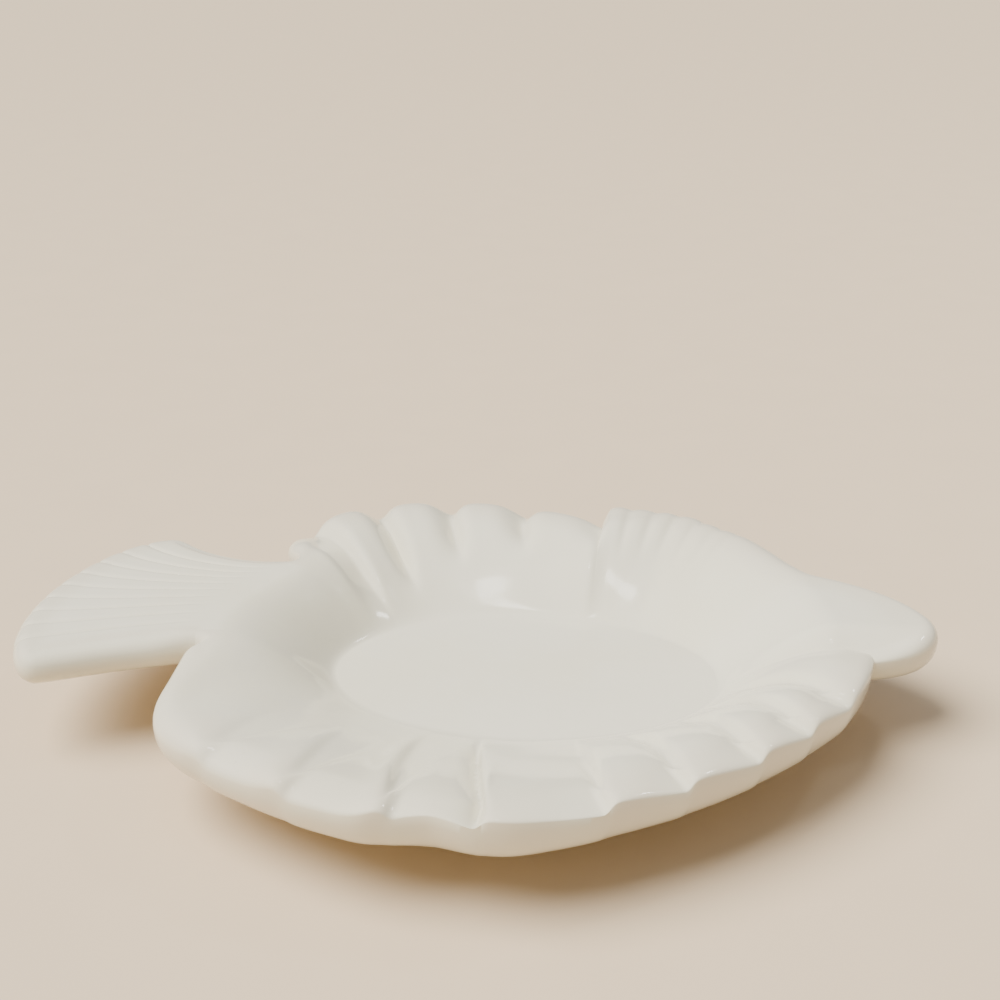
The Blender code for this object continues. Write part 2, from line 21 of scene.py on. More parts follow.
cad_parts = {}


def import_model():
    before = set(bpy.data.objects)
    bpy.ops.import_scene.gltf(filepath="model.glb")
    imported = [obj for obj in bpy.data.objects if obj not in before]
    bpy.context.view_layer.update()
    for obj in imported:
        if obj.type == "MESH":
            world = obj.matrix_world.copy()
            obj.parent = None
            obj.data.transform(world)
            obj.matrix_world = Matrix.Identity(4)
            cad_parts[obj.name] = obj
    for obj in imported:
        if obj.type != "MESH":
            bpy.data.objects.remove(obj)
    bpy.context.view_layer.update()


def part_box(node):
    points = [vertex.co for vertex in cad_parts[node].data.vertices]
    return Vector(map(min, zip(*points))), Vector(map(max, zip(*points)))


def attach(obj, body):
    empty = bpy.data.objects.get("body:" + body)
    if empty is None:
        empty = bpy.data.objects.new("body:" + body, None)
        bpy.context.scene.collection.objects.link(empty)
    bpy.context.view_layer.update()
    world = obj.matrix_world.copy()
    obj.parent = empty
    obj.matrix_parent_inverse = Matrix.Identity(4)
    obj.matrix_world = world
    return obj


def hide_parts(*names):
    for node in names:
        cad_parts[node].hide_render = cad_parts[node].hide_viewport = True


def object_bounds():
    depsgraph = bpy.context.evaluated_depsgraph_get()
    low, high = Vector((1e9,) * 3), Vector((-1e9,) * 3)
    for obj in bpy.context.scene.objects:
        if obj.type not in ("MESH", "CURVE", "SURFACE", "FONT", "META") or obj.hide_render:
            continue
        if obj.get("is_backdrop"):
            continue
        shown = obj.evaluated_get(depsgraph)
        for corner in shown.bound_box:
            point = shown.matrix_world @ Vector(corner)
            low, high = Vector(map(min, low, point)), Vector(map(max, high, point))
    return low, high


LOG = logging.getLogger("dish")
BODY = "root"
FINE_STEPS = 1500  # of a line whose length is measured before it is divided evenly


class Slot(Enum):
    """Material slots."""

    GLAZE = "glaze"
    CLAY = "bare_clay"


class Side(IntEnum):
    """Sides of the tail, which are also the ends of the places counted across it."""

    DORSAL = -1
    BELLY = 1


# Shape helpers


def smooth(share: Any) -> Any:
    """Ease from 0 to 1, level at both ends."""
    held = np.clip(share, 0.0, 1.0)
    return held * held * (3.0 - 2.0 * held)


def eased(values: np.ndarray, span: tuple) -> np.ndarray:
    """Ease from 0 at the start of a span to 1 at its end."""
    start, end = span
    return smooth((values - start) / (end - start))


def mix(start: Any, end: Any, share: Any) -> Any:
    """Value that lies a share of the way from start to end."""
    return start + (end - start) * share


def unit(rows: np.ndarray) -> np.ndarray:
    """Rows of vectors brought to length 1."""
    return rows / np.linalg.norm(rows, axis=-1, keepdims=True)


def polar(angles: np.ndarray, radius: Any) -> np.ndarray:
    """Points in plan at angles and radii about the middle of the well."""
    turns = np.radians(angles)
    return np.stack([radius * np.cos(turns), radius * np.sin(turns)], axis=-1)


def through(points: tuple, angles: np.ndarray) -> np.ndarray:
    """Smooth curve through given points.

    Args:
        points: pairs of an angle and a value, in the order of rising angles.
        angles: where the curve is wanted.

    Returns:
        Its values.
    """
    spots, values = np.array(points).T
    slopes = np.gradient(values, spots)
    number = np.clip(np.searchsorted(spots, angles, side="right") - 1, 0, len(spots) - 2)
    width = spots[number + 1] - spots[number]
    share = np.clip((angles - spots[number]) / width, 0.0, 1.0)
    go = share * (1.0 - share) ** 2 * width * slopes[number]
    come = share**2 * (share - 1.0) * width * slopes[number + 1]
    return mix(values[number], values[number + 1], smooth(share)) + go + come


def quarter_round(distance: np.ndarray, radius: float) -> np.ndarray:
    """Share by which a rounded corner falls back: 1 at the corner and 0 from radius on."""
    return 1.0 - np.sqrt(1.0 - np.clip(1.0 - distance / radius, 0.0, 1.0) ** 2)


def filleted(distance: np.ndarray, radius: float, fillet: float) -> np.ndarray:
    """Share by which a rounded corner falls back to a neighbour that it meets in a soft hollow.

    Args:
        distance: distance from the neighbour.
        radius: distance from which the corner no longer falls back.
        fillet: how soft the hollow is; 0 gives a sharp one.

    Returns:
        1 at the neighbour and 0 from radius on.
    """
    away = distance / radius
    return quarter_round(away**2 * (1.0 + fillet) / (away + fillet), 1.0)


def relax(points: np.ndarray, rounds: int) -> np.ndarray:
    """Smooth a line of points by averaging with the neighbours; its ends stay.

    Args:
        points: the points in order.
        rounds: how often the line is averaged.

    Returns:
        The smoothed points.
    """
    line = points.copy()
    for _ in range(rounds):
        line[1:-1] = (line[:-2] + 2.0 * line[1:-1] + line[2:]) / 4.0
    return line


def outward(points: np.ndarray) -> np.ndarray:
    """Plan normals of a line of points that runs anticlockwise round the dish."""
    along = np.gradient(points, axis=0)
    return unit(np.stack([along[:, 1], -along[:, 0]], axis=1))


def lengths(points: np.ndarray) -> np.ndarray:
    """Distance of each point from the first, along the line of points."""
    steps = np.linalg.norm(np.diff(points, axis=0), axis=1)
    return np.concatenate([[0.0], np.cumsum(steps)])


@dataclass(frozen=True)
class Well:
    """Oval well in the middle of the dish, from which the walls rise along spokes.

    Attributes:
        length: length of the floor.
        width: width of the floor.
        floor: height of the floor.
        thickness: thickness of the floor.
        joint: how far outside the floor's oval the walls start.
        spoke_circle: radius of the circle on which the spokes' angles are measured.
        lean: angle by which the spokes lean at the brow.
        lean_angle: where the brow is.
        lean_span: angle over which the lean fades out.
    """

    length: float = 0.0695
    width: float = 0.0430
    floor: float = 0.0080
    thickness: float = 0.0050
    joint: float = 0.0003
    spoke_circle: float = 0.0580
    lean: float = 5.0
    lean_angle: float = 72.0
    lean_span: float = 25.0

    def start_angles(self, angles: np.ndarray) -> np.ndarray:
        """Places on the floor's edge where spokes start, as angles on the oval drawn out to a circle.

        Args:
            angles: where the spokes cross the spoke circle.

        Returns:
            The places.
        """
        turns = np.radians(angles)
        radial = np.arctan2(self.length * np.sin(turns), self.width * np.cos(turns))
        lead = np.degrees(np.arctan2(np.sin(radial - turns), np.cos(radial - turns)))
        brow = np.exp(-(((angles - self.lean_angle) / self.lean_span) ** 2))
        return angles + lead * (1.0 - np.sin(turns)) / 2 - self.lean * brow

    def spokes(self, angles: np.ndarray) -> tuple[np.ndarray, np.ndarray]:
        """Spokes that cross the spoke circle at the angles.

        Args:
            angles: where the spokes cross the circle.

        Returns:
            The spokes' starts at the floor's edge, and their directions.
        """
        place = np.radians(self.start_angles(angles))
        edge = np.stack([self.length / 2 * np.cos(place), self.width / 2 * np.sin(place)], axis=-1)
        course = unit(polar(angles, self.spoke_circle) - edge)
        return edge + course * self.joint, course

    @staticmethod
    def run_to(start: np.ndarray, course: np.ndarray, reach: Any) -> np.ndarray:
        """Distance along spokes to where they are as far from the middle of the well as reach."""
        toward = np.sum(start * course, axis=-1)
        return np.sqrt(toward**2 + reach**2 - np.sum(start * start, axis=-1)) - toward


@dataclass(frozen=True)
class Wall:
    """Sizes that all sections of the wall share.

    Attributes:
        lip_run: how far the lip stands out.
        lip_squareness: how square the lip's section is; 2 gives an ellipse.
        fillet: rounding at the floor, as a share of the wall's run.
        scallop_power: how late on its way up the wall follows the scallops of its crest.
        station_step: distance between cuts, along the crest.
        rows: number of steps from the floor's edge to the crest.
        row_bias: how much closer the rows lie near the floor.
        lip_steps: number of steps round the lip.
        thin_and_shade_from: share of the wall from which the glaze lies thinly; its colour there also paints
            the shade on the lip.
        thin_and_shade_depth: depth of a flute that stops the glaze from lying thinly and the painted shade
            from showing.
        pool_depth: depth of a flute that fills with glaze.
    """

    lip_run: float = 0.0046
    lip_squareness: float = 2.2
    fillet: float = 0.08
    scallop_power: int = 4
    station_step: float = 0.0006
    rows: int = 30
    row_bias: float = 1.25
    lip_steps: int = 16
    thin_and_shade_from: float = 0.72
    thin_and_shade_depth: float = 0.0012
    pool_depth: float = 0.0025

    def shares(self) -> np.ndarray:
        """Share of the way from the floor's edge to the crest at each row."""
        return (np.arange(self.rows + 1) / self.rows) ** self.row_bias

    def rise(self, share: np.ndarray, power: np.ndarray) -> np.ndarray:
        """Height of the wall as a share of its rise.

        Args:
            share: share of the way from the floor's edge to where the wall has its full height.
            power: how quickly the wall rises from the floor.

        Returns:
            A share that is level at the floor, steep just above it and level again at the rim.
        """
        soft = (np.sqrt(share**2 + self.fillet**2) - self.fillet) / (
            math.sqrt(1.0 + self.fillet**2) - self.fillet
        )
        return 1.0 - (1.0 - soft) ** power

    def lip(self, depth: np.ndarray) -> tuple[np.ndarray, np.ndarray]:
        """Section of the lip.

        Args:
            depth: 0 at the top of the lip and 1 at its bottom.

        Returns:
            How far the lip stands out, as a share of its run, and its height from -1 to 1.
        """
        turn = math.pi * depth
        power = 2.0 / self.lip_squareness
        out = np.abs(np.sin(turn)) ** power
        level = np.sign(np.cos(turn)) * np.abs(np.cos(turn)) ** power
        return np.where((depth <= 0.0) | (depth >= 1.0), 0.0, out), level


@dataclass
class Stations:
    """Cuts through the wall, one after another round the dish. All fields are arrays of one row per cut.

    Attributes:
        start: plan point where the cut leaves the floor.
        even: plan point of the crest before the scallops draw it in.
        crest: plan point where the lip starts on the upper face.
        outer: plan point where the lip stands out furthest.
        under: plan point where the lip ends on the underside.
        top: height of the rim.
        bulge: height at which the lip stands out furthest.
        low: height of the underside at the rim.
        sunk: how deep flutes lie below the wall, with one column per row of the blank.
        full: share of the run at which the wall has its full height.
        power: how quickly the wall rises.
    """

    start: np.ndarray
    even: np.ndarray
    crest: np.ndarray
    outer: np.ndarray
    under: np.ndarray
    top: np.ndarray
    bulge: np.ndarray
    low: np.ndarray
    sunk: np.ndarray
    full: np.ndarray
    power: np.ndarray

    def count(self) -> int:
        """Number of cuts."""
        return len(self.start)

    def reverse(self) -> "Stations":
        """The same cuts in the opposite order."""
        return Stations(**{name: values[::-1] for name, values in vars(self).items()})


@dataclass
class Pressed:
    """What pressing gives for each point of a blank.

    Attributes:
        place: its place.
        thin: how thinly the glaze lies there, from 0 to 1; the same share lays painted shade on the lips.
        pool: how much the glaze pools there, from 0 to 1.
    """

    place: np.ndarray
    thin: np.ndarray
    pool: np.ndarray


class WallMould:
    """Mould of a wall section, from the floor's edge up to the rim, round the lip and back underneath."""

    def __init__(self, well: Well, wall: Wall, stations: Stations) -> None:
        """Keep the sizes and the stations of the section."""
        self.well = well
        self.wall = wall
        self.stations = stations

    def press(self, number: np.ndarray, row: np.ndarray, depth: np.ndarray) -> Pressed:
        """Press points of the blank.

        Args:
            number: station of each point.
            row: row of each point, from 0 at the floor's edge.
            depth: 0 on the upper face, 1 on the lower one and between them on the lip.

        Returns:
            The points in the dish.
        """
        cut = self.stations
        step = np.rint(row).astype(int)
        share = self.wall.shares()[step]
        rise = self.wall.rise(np.minimum(share / cut.full[number], 1.0), cut.power[number])
        sunk = cut.sunk[number, step]
        floor, base = self.well.floor, self.well.floor - self.well.thickness
        upper = mix(floor, cut.top[number], rise) - sunk
        lower = mix(base, cut.low[number], rise)
        out, level = self.wall.lip(depth)
        above = level >= 0.0
        even = np.where(above[:, None], cut.even[number], cut.under[number])
        edge = np.where(above[:, None], cut.crest[number], cut.under[number])
        bite = share[:, None] ** self.wall.scallop_power
        plan = mix(cut.start[number], even, share[:, None]) + (edge - even) * bite
        plan += (cut.outer[number] - edge) * out[:, None]
        bulge = cut.bulge[number]
        height = bulge + np.where(above, upper - bulge, bulge - lower) * level
        # Thinly glazed crowns and lip; this share also lays painted shade on the lip.
        crown = eased(share, (self.wall.thin_and_shade_from, 1.0))
        thin = crown * (1.0 - np.minimum(sunk / self.wall.thin_and_shade_depth, 1.0))
        pool = np.minimum(sunk / self.wall.pool_depth, 1.0)
        return Pressed(np.column_stack([plan, height]), thin, pool)


@dataclass(frozen=True)
class Crook:
    """Rounded inner corner where a fin draws in to the tail.

    Attributes:
        corner: plan point where the fin's crest and the tail's side would meet.
        tailward: direction of the tail's side from the corner.
        finward: direction of the fin's crest from the corner.
        radius: radius of the rounding.
    """

    corner: np.ndarray
    tailward: np.ndarray
    finward: np.ndarray
    radius: float

    def half_angle(self) -> float:
        """Half the angle between the two directions."""
        return math.acos(float(np.dot(self.tailward, self.finward))) / 2

    def tangent(self) -> float:
        """Distance from the corner to where the rounding starts."""
        return self.radius / math.tan(self.half_angle())

    def arc(self, steps: int) -> tuple[np.ndarray, np.ndarray]:
        """Points of the rounding from the tail to the fin.

        Args:
            steps: number of steps.

        Returns:
            The points, and the directions from them to the rounding's centre.
        """
        half = self.half_angle()
        middle = unit(self.tailward + self.finward)
        centre = self.corner + middle * self.radius / math.sin(half)
        first = unit(self.corner + self.tailward * self.tangent() - centre)
        last = unit(self.corner + self.finward * self.tangent() - centre)
        sweep = math.pi - 2 * half
        turns = np.linspace(0.0, sweep, steps + 1)[:, None]
        rays = (np.sin(sweep - turns) * first + np.sin(turns) * last) / math.sin(sweep)
        return centre + rays * self.radius, -rays


# Modelling in edit mode


class Bench:
    """Edit-mode work that the pieces share.

    Attributes:
        UPRIGHT: rise from which an edge of a blank counts as upright.
    """

    UPRIGHT: ClassVar[float] = 0.5

    @staticmethod
    def clear_selection() -> None:
        """Deselect everything, so that an operator acts only on the piece in hand."""
        if bpy.context.mode != "OBJECT":
            bpy.ops.object.mode_set(mode="OBJECT")
        bpy.ops.object.select_all(action="DESELECT")

    @staticmethod
    def take(piece: bpy.types.Object) -> None:
        """Make a piece the only selected and the active one."""
        Bench.clear_selection()
        piece.select_set(True)
        bpy.context.view_layer.objects.active = piece

    @staticmethod
    def blank(name: str, stations: int, rows: int, steps: int, is_rim: Callable) -> bpy.types.Object:
        """Flat closed blank whose points count stations along X, rows along Y and depth along -Z.

        Args:
            name: name of the piece.
            stations: number of steps along X.
            rows: number of steps along Y.
            steps: number of steps round the lip.
            is_rim: function that says whether the point at a station and a row lies on the free edge.

        Returns:
            The blank.
        """
        Bench.clear_selection()
        bpy.ops.mesh.primitive_grid_add(x_subdivisions=stations, y_subdivisions=rows, size=2.0)
        piece = bpy.context.active_object
        piece.name = name
        piece.data.name = name
        bpy.ops.object.mode_set(mode="EDIT")
        bpy.ops.mesh.select_all(action="SELECT")
        bpy.ops.transform.resize(value=(stations / 2, rows / 2, 1.0))
        bpy.ops.transform.translate(value=(stations / 2, rows / 2, 0.0))
        bpy.ops.mesh.extrude_region_move(TRANSFORM_OT_translate={"value": (0.0, 0.0, -1.0)})
        bpy.ops.mesh.select_all(action="DESELECT")
        bpy.ops.mesh.select_mode(type="EDGE")
        shape = bmesh.from_edit_mesh(piece.data)
        for edge in shape.edges:
            top, low = edge.verts
            upright = abs(top.co.z - low.co.z) > Bench.UPRIGHT
            edge.select_set(upright and is_rim(round(top.co.x), round(top.co.y)))
        bmesh.update_edit_mesh(piece.data)
        bpy.ops.mesh.subdivide(number_cuts=steps - 1)
        bpy.ops.object.mode_set(mode="OBJECT")
        return piece

    @staticmethod
    def press(piece: bpy.types.Object, mould: Any, middle: np.ndarray) -> None:
        """Press a blank into a mould and keep where its glaze pools or lies thinly, the latter also laying
        painted shade.

        Args:
            piece: the blank.
            mould: mould with a press method.
            middle: plan place of the middle of the well.
        """
        mesh = piece.data
        flat = np.empty(len(mesh.vertices) * 3)
        mesh.vertices.foreach_get("co", flat)
        flat = flat.reshape(-1, 3)
        made = mould.press(np.rint(flat[:, 0]).astype(int), np.rint(flat[:, 1]), -flat[:, 2])
        made.place[:, :2] += middle
        mesh.vertices.foreach_set("co", made.place.ravel())
        for name, values in (("thin", made.thin), ("pool", made.pool)):
            mesh.attributes.new(name, "FLOAT", "POINT").data.foreach_set("value", values)
        mesh.update()
        Bench.finish(piece)

    @staticmethod
    def finish(piece: bpy.types.Object, angle: float = 50.0) -> None:
        """Turn all faces outwards and shade the round ones smooth.

        Args:
            piece: the piece.
            angle: edges sharper than this stay sharp.
        """
        Bench.take(piece)
        bpy.ops.object.mode_set(mode="EDIT")
        bpy.ops.mesh.select_all(action="SELECT")
        bpy.ops.mesh.normals_make_consistent(inside=False)
        bpy.ops.object.mode_set(mode="OBJECT")
        bpy.ops.object.shade_smooth_by_angle(angle=math.radians(angle))

    @staticmethod
    def mount(piece: bpy.types.Object, node: str, slot: Slot, finish: "Finish") -> None:
        """Put a finished piece in the place of its CAD node.

        Args:
            piece: the piece.
            node: the CAD node that it stands for.
            slot: slot for its finish; not used.
            finish: the finish that it gets.
        """
        piece.data.materials.clear()
        piece.data.materials.append(finish.make())
        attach(piece, BODY)
        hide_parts(node)
        LOG.info("%s stands for %s: %d faces", piece.name, node, len(piece.data.polygons))


# Sections of the wall


@dataclass(frozen=True)
class Groove:
    """Groove between two lobes.

    Attributes:
        angle: where it crosses the spoke circle.
        depth: how deep it is at the rim.
        scallop: how far the rim draws in at it.
        start: share of the wall where it starts.
        full: share of the wall where it has its full depth.
    """

    angle: float
    depth: float
    scallop: float
    start: float = 0.03
    full: float = 0.55


@dataclass(frozen=True)
class Lobes:
    """Row of lobes across a fin, with a groove between each two and at both ends.

    Attributes:
        grooves: the grooves in the order of rising angles.
        crowns: where each lobe is highest, as a share of its width.
        corners: where each lobe stands out furthest, as a share of its width.
        sinks: how far each lobe lies behind the others, as a share of the grooves' depth.
        roundness: how long a lobe stays high before it falls to its grooves.
        corner_roundness: how long a lobe stands out before it draws in to its grooves.
        soften: angle over which glaze softens the grooves.
        SOFT_REACH: how many times that angle the softening reaches to each side.
        SOFT_STEPS: number of steps in that angle.
    """

    grooves: tuple
    crowns: tuple
    corners: tuple
    sinks: tuple
    roundness: float = 2.6
    corner_roundness: float = 1.8
    soften: float = 0.55
    SOFT_REACH: ClassVar[float] = 4.0
    SOFT_STEPS: ClassVar[int] = 10

    def ends(self) -> tuple[float, float]:
        """Angles of the two ends."""
        return self.grooves[0].angle, self.grooves[-1].angle

    def between(self, name: str, angles: np.ndarray) -> np.ndarray:
        """Value of a groove size at each angle, between the values of the grooves beside it."""
        lines = [groove.angle for groove in self.grooves]
        return np.interp(angles, lines, [getattr(groove, name) for groove in self.grooves])

    def hollow(self, angles: np.ndarray, tops: tuple, roundness: float) -> np.ndarray:
        """Share of the groove depth at each angle, softened as glaze softens it.

        Args:
            angles: angles across the fin.
            tops: where each lobe has its top, as a share of its width.
            roundness: how long a lobe stays at its top.

        Returns:
            0 on the tops and nearly 1 in the grooves.
        """
        margin, step = self.SOFT_REACH * self.soften, self.soften / self.SOFT_STEPS
        start, end = self.ends()
        fine = np.arange(start - margin, end + margin, step)
        lines = np.array([groove.angle for groove in self.grooves])
        lobe = np.clip(np.searchsorted(lines, fine, side="right") - 1, 0, len(tops) - 1)
        across = np.clip((fine - lines[lobe]) / (lines[lobe + 1] - lines[lobe]), 0.0, 1.0)
        skew = np.log(0.5) / np.log(np.array(tops))[lobe]
        raw = mix(np.abs(2.0 * across**skew - 1.0) ** roundness, 1.0, np.array(self.sinks)[lobe])
        kernel = np.exp(-0.5 * (np.arange(-margin, margin, step) / self.soften) ** 2)
        soft = np.convolve(raw, kernel / kernel.sum(), mode="same")
        return np.interp(angles, fine, soft)

    def flute(self, angles: np.ndarray) -> np.ndarray:
        """Depth of the grooves at each angle."""
        return self.between("depth", angles) * self.hollow(angles, self.crowns, self.roundness)

    def scallop(self, angles: np.ndarray) -> np.ndarray:
        """How far the rim draws in at each angle."""
        return self.between("scallop", angles) * self.hollow(angles, self.corners, self.corner_roundness)


@dataclass(frozen=True)
class Neck:
    """Where the wall passes over into the tail.

    Attributes:
        well: the well that the wall rises from.
        angle: angle of the dorsal side.
        span: angle from the dorsal to the belly side.
        dorsal_radius: distance of the dorsal side from the middle of the well.
        belly_radius: distance of the belly side.
        sweep: how far the sides of the tail sweep towards the belly as they leave.
        rounding: radius of the crooks.
        lip_run: how far the lip stands out at the crooks.
        height: height of the upper face.
        thickness: thickness of the tail.
        power: how quickly the wall rises.
    """

    well: Well
    angle: float = 155.0
    span: float = 35.0
    dorsal_radius: float = 0.0485
    belly_radius: float = 0.0550
    sweep: float = 0.15
    rounding: float = 0.0034
    lip_run: float = 0.0024
    height: float = 0.0200
    thickness: float = 0.0062
    power: float = 1.6

    def side_angle(self, place: Any) -> Any:
        """Spoke angle at a place across the tail."""
        return self.angle + self.span * (place + 1.0) / 2

    def radius(self, place: Any) -> Any:
        """Distance of the neck from the middle of the well at a place across the tail."""
        return mix(self.dorsal_radius, self.belly_radius, smooth((place + 1.0) / 2))

    def root(self, places: np.ndarray) -> tuple[np.ndarray, np.ndarray, np.ndarray]:
        """Start, neck point and direction of rays of the tail.

        Args:
            places: places across the tail, from -1 at the dorsal side to 1 at the belly side.

        Returns:
            Points at the floor's edge, points on the neck, and directions in which the tail leaves the neck.
        """
        start, course = self.well.spokes(self.side_angle(places))
        neck = start + course * self.well.run_to(start, course, self.radius(places))[:, None]
        leave = unit(np.stack([np.full(len(places), -1.0), -self.sweep * places**2], axis=1))
        return start, neck, leave

    def crook(self, side: Side, finward: np.ndarray) -> Crook:
        """Rounding between a side of the tail and a fin that leaves in a direction."""
        _, neck, leave = self.root(np.array([side]))
        return Crook(neck[0], leave[0], finward, self.rounding)


class Section:
    """Section of the wall that is pressed from one blank.

    Attributes:
        node: CAD node that the section stands for.
        well: the well that its wall rises from.
        wall: sizes of the wall.
    """

    node: str
    well: Well
    wall: Wall

    def stations(self) -> Stations:
        """Cuts through the section, in the order of rising angles."""
        raise NotImplementedError

    def rows(self) -> int:
        """Number of steps of the blank from the floor's edge outwards."""
        return self.wall.rows

    def is_rim(self, station: int, row: int) -> bool:
        """Whether a point of the blank lies on the free edge."""
        return row == self.rows()

    def mould(self) -> Any:
        """Mould that the blank is pressed into."""
        return WallMould(self.well, self.wall, self.stations())

    def build(self, middle: np.ndarray) -> bpy.types.Object:
        """Press the section.

        Args:
            middle: plan place of the middle of the well.

        Returns:
            The section.
        """
        steps = self.stations().count() - 1
        blank = Bench.blank(f"{self.node}_glazed", steps, self.rows(), self.wall.lip_steps, self.is_rim)
        Bench.press(blank, self.mould(), middle)
        return blank

    def dress(self, piece: bpy.types.Object, finish: "Finish") -> None:
        """Glaze the section and put it in its place."""
        Bench.mount(piece, self.node, Slot.GLAZE, finish)


@dataclass
class Fin(Section):
    """Fluted fin that forms part of the rim.

    Attributes:
        node: CAD node that the fin stands for.
        well: the well that its wall rises from.
        wall: sizes of the wall.
        neck: the neck that the fin draws in to.
        lobes: its lobes.
        outline: reach of the crowns, in pairs of an angle and a distance.
        side: side of the tail that it meets.
        heights: height of the crowns, in pairs of an angle and a height.
        powers: how quickly the wall rises, in pairs of an angle and a power.
        bulge_drops: drop from the crowns to the lip's outermost line, in pairs of an angle and a distance.
        thickness: thickness of the lip at the crowns.
        flute_starts: where flutes start, in pairs of an angle at the rim and a place on the floor's edge.
        lip_run: how far the lip stands out at the lobes' corners.
        low_run: how far the lip draws in again below its outermost line.
        low_share: share of the scallops that the lip's outermost line follows.
        bulge_follow: share by which that line sinks where the scallops draw the crest in behind it.
        corner: radius of the rounded corner at the far end.
        end_power: how much less quickly the wall rises right at the far end, where it meets its neighbour.
        end_round: distance from the far end over which the wall bends to its neighbour.
        end_fillet: how soft the hollow at the neighbour is.
        end_turn: distance from the far end over which the lip turns to the neighbour's direction.
        end_even: distance from the far end over which the wall comes to follow the crest all the way up.
        ease_span: angle from the crook over which heights pass over from the neck's.
        wall_span: angle from the crook over which the wall widens from the neck's run.
        flute_span: angle from the crook over which the flutes set in.
        lip_span: distance past the crook over which the lip widens.
        crook_span: angle over which the crest's direction at the crook is taken.
        crook_steps: number of steps round the crook.
        relax_rounds: how often lines along the fin are smoothed.
        normal_rounds: how often the directions of the lip are smoothed.
        crook_leave: share of the fin's own direction that the lip has at the end of the crook.
    """

    node: str
    well: Well
    wall: Wall
    neck: Neck
    lobes: Lobes
    outline: tuple
    side: Side
    heights: tuple
    powers: tuple
    bulge_drops: tuple
    thickness: float
    flute_starts: tuple = ()
    lip_run: float = 0.0046
    low_run: float = 0.0046
    low_share: float = 0.75
    bulge_follow: float = 0.35
    corner: float = 0.0
    end_power: float = 0.0
    end_round: float = 0.0026
    end_fillet: float = 0.8
    end_turn: float = 0.004
    end_even: float = 0.008
    ease_span: float = 13.0
    wall_span: float = 17.0
    flute_span: float = 6.0
    lip_span: float = 0.011
    crook_span: float = 4.0
    crook_steps: int = 8
    relax_rounds: int = 3
    normal_rounds: int = 6
    crook_leave: float = 0.5

    def even_reach(self, angles: np.ndarray) -> np.ndarray:
        """Reach of the rim at the angles, without its scallops."""
        from_end = np.radians(np.abs(angles - self.far_angle())) * self.well.spoke_circle
        corner = self.corner * quarter_round(from_end, self.corner) if self.corner else 0.0
        return through(self.outline, angles) - corner

    def reach(self, angles: np.ndarray) -> np.ndarray:
        """Reach of the rim at the angles."""
        return self.even_reach(angles) - self.lobes.scallop(angles)

    def crest_run(
        self, angles: np.ndarray, share: float = 1.0
    ) -> tuple[np.ndarray, np.ndarray, np.ndarray]:
        """Starts, directions and lengths of the spokes up to a line inside the rim.

        Args:
            angles: angles of the spokes.
            share: share of the scallops that the line follows; the crest follows all.

        Returns:
            The starts, directions and lengths.
        """
        start, course = self.well.spokes(angles)
        reach = self.even_reach(angles) - share * self.lobes.scallop(angles)
        return start, course, self.well.run_to(start, course, reach) - self.lip_run

    def line(self, angles: np.ndarray, arc: np.ndarray, share: float) -> np.ndarray:
        """Plan points of the line that follows a share of the scallops, past the crook's rounding."""
        start, course, run = self.crest_run(angles, share)
        points = start + course * run[:, None]
        points[: len(arc)] = arc
        return relax(points, self.relax_rounds)

    def crook_angle(self) -> float:
        """Angle of the end at the tail."""
        return self.neck.side_angle(self.side)

    def far_angle(self) -> float:
        """Angle of the end away from the tail."""
        start, end = self.lobes.ends()
        return end if self.side is Side.BELLY else start

    def crook(self) -> Crook:
        """Rounding between the tail's side and this fin."""
        angle = self.crook_angle() + self.side * np.array([0.0, self.crook_span])
        start, course, run = self.crest_run(angle)
        crest = start + course * run[:, None]
        return self.neck.crook(self.side, unit(crest[1] - crest[0]))

    def angles(self) -> tuple[np.ndarray, np.ndarray, np.ndarray]:
        """Station angles from the crook to the far end.

        Returns:
            The angles, and the points and normals of the crook's rounding.
        """
        arc, arc_normal = self.crook().arc(self.crook_steps)
        bearing = np.degrees(np.arctan2(arc[:, 1], arc[:, 0]))
        arc_angle = self.crook_angle() + (bearing - bearing[0] + 180.0) % 360.0 - 180.0
        fine = np.linspace(arc_angle[-1], self.far_angle(), FINE_STEPS)
        start, course, run = self.crest_run(fine)
        walk = lengths(start + course * run[:, None])
        count = math.ceil(walk[-1] / self.wall.station_step)
        rest = np.interp(np.linspace(0.0, walk[-1], count + 1)[1:], walk, fine)
        return np.concatenate([arc_angle, rest]), arc, arc_normal

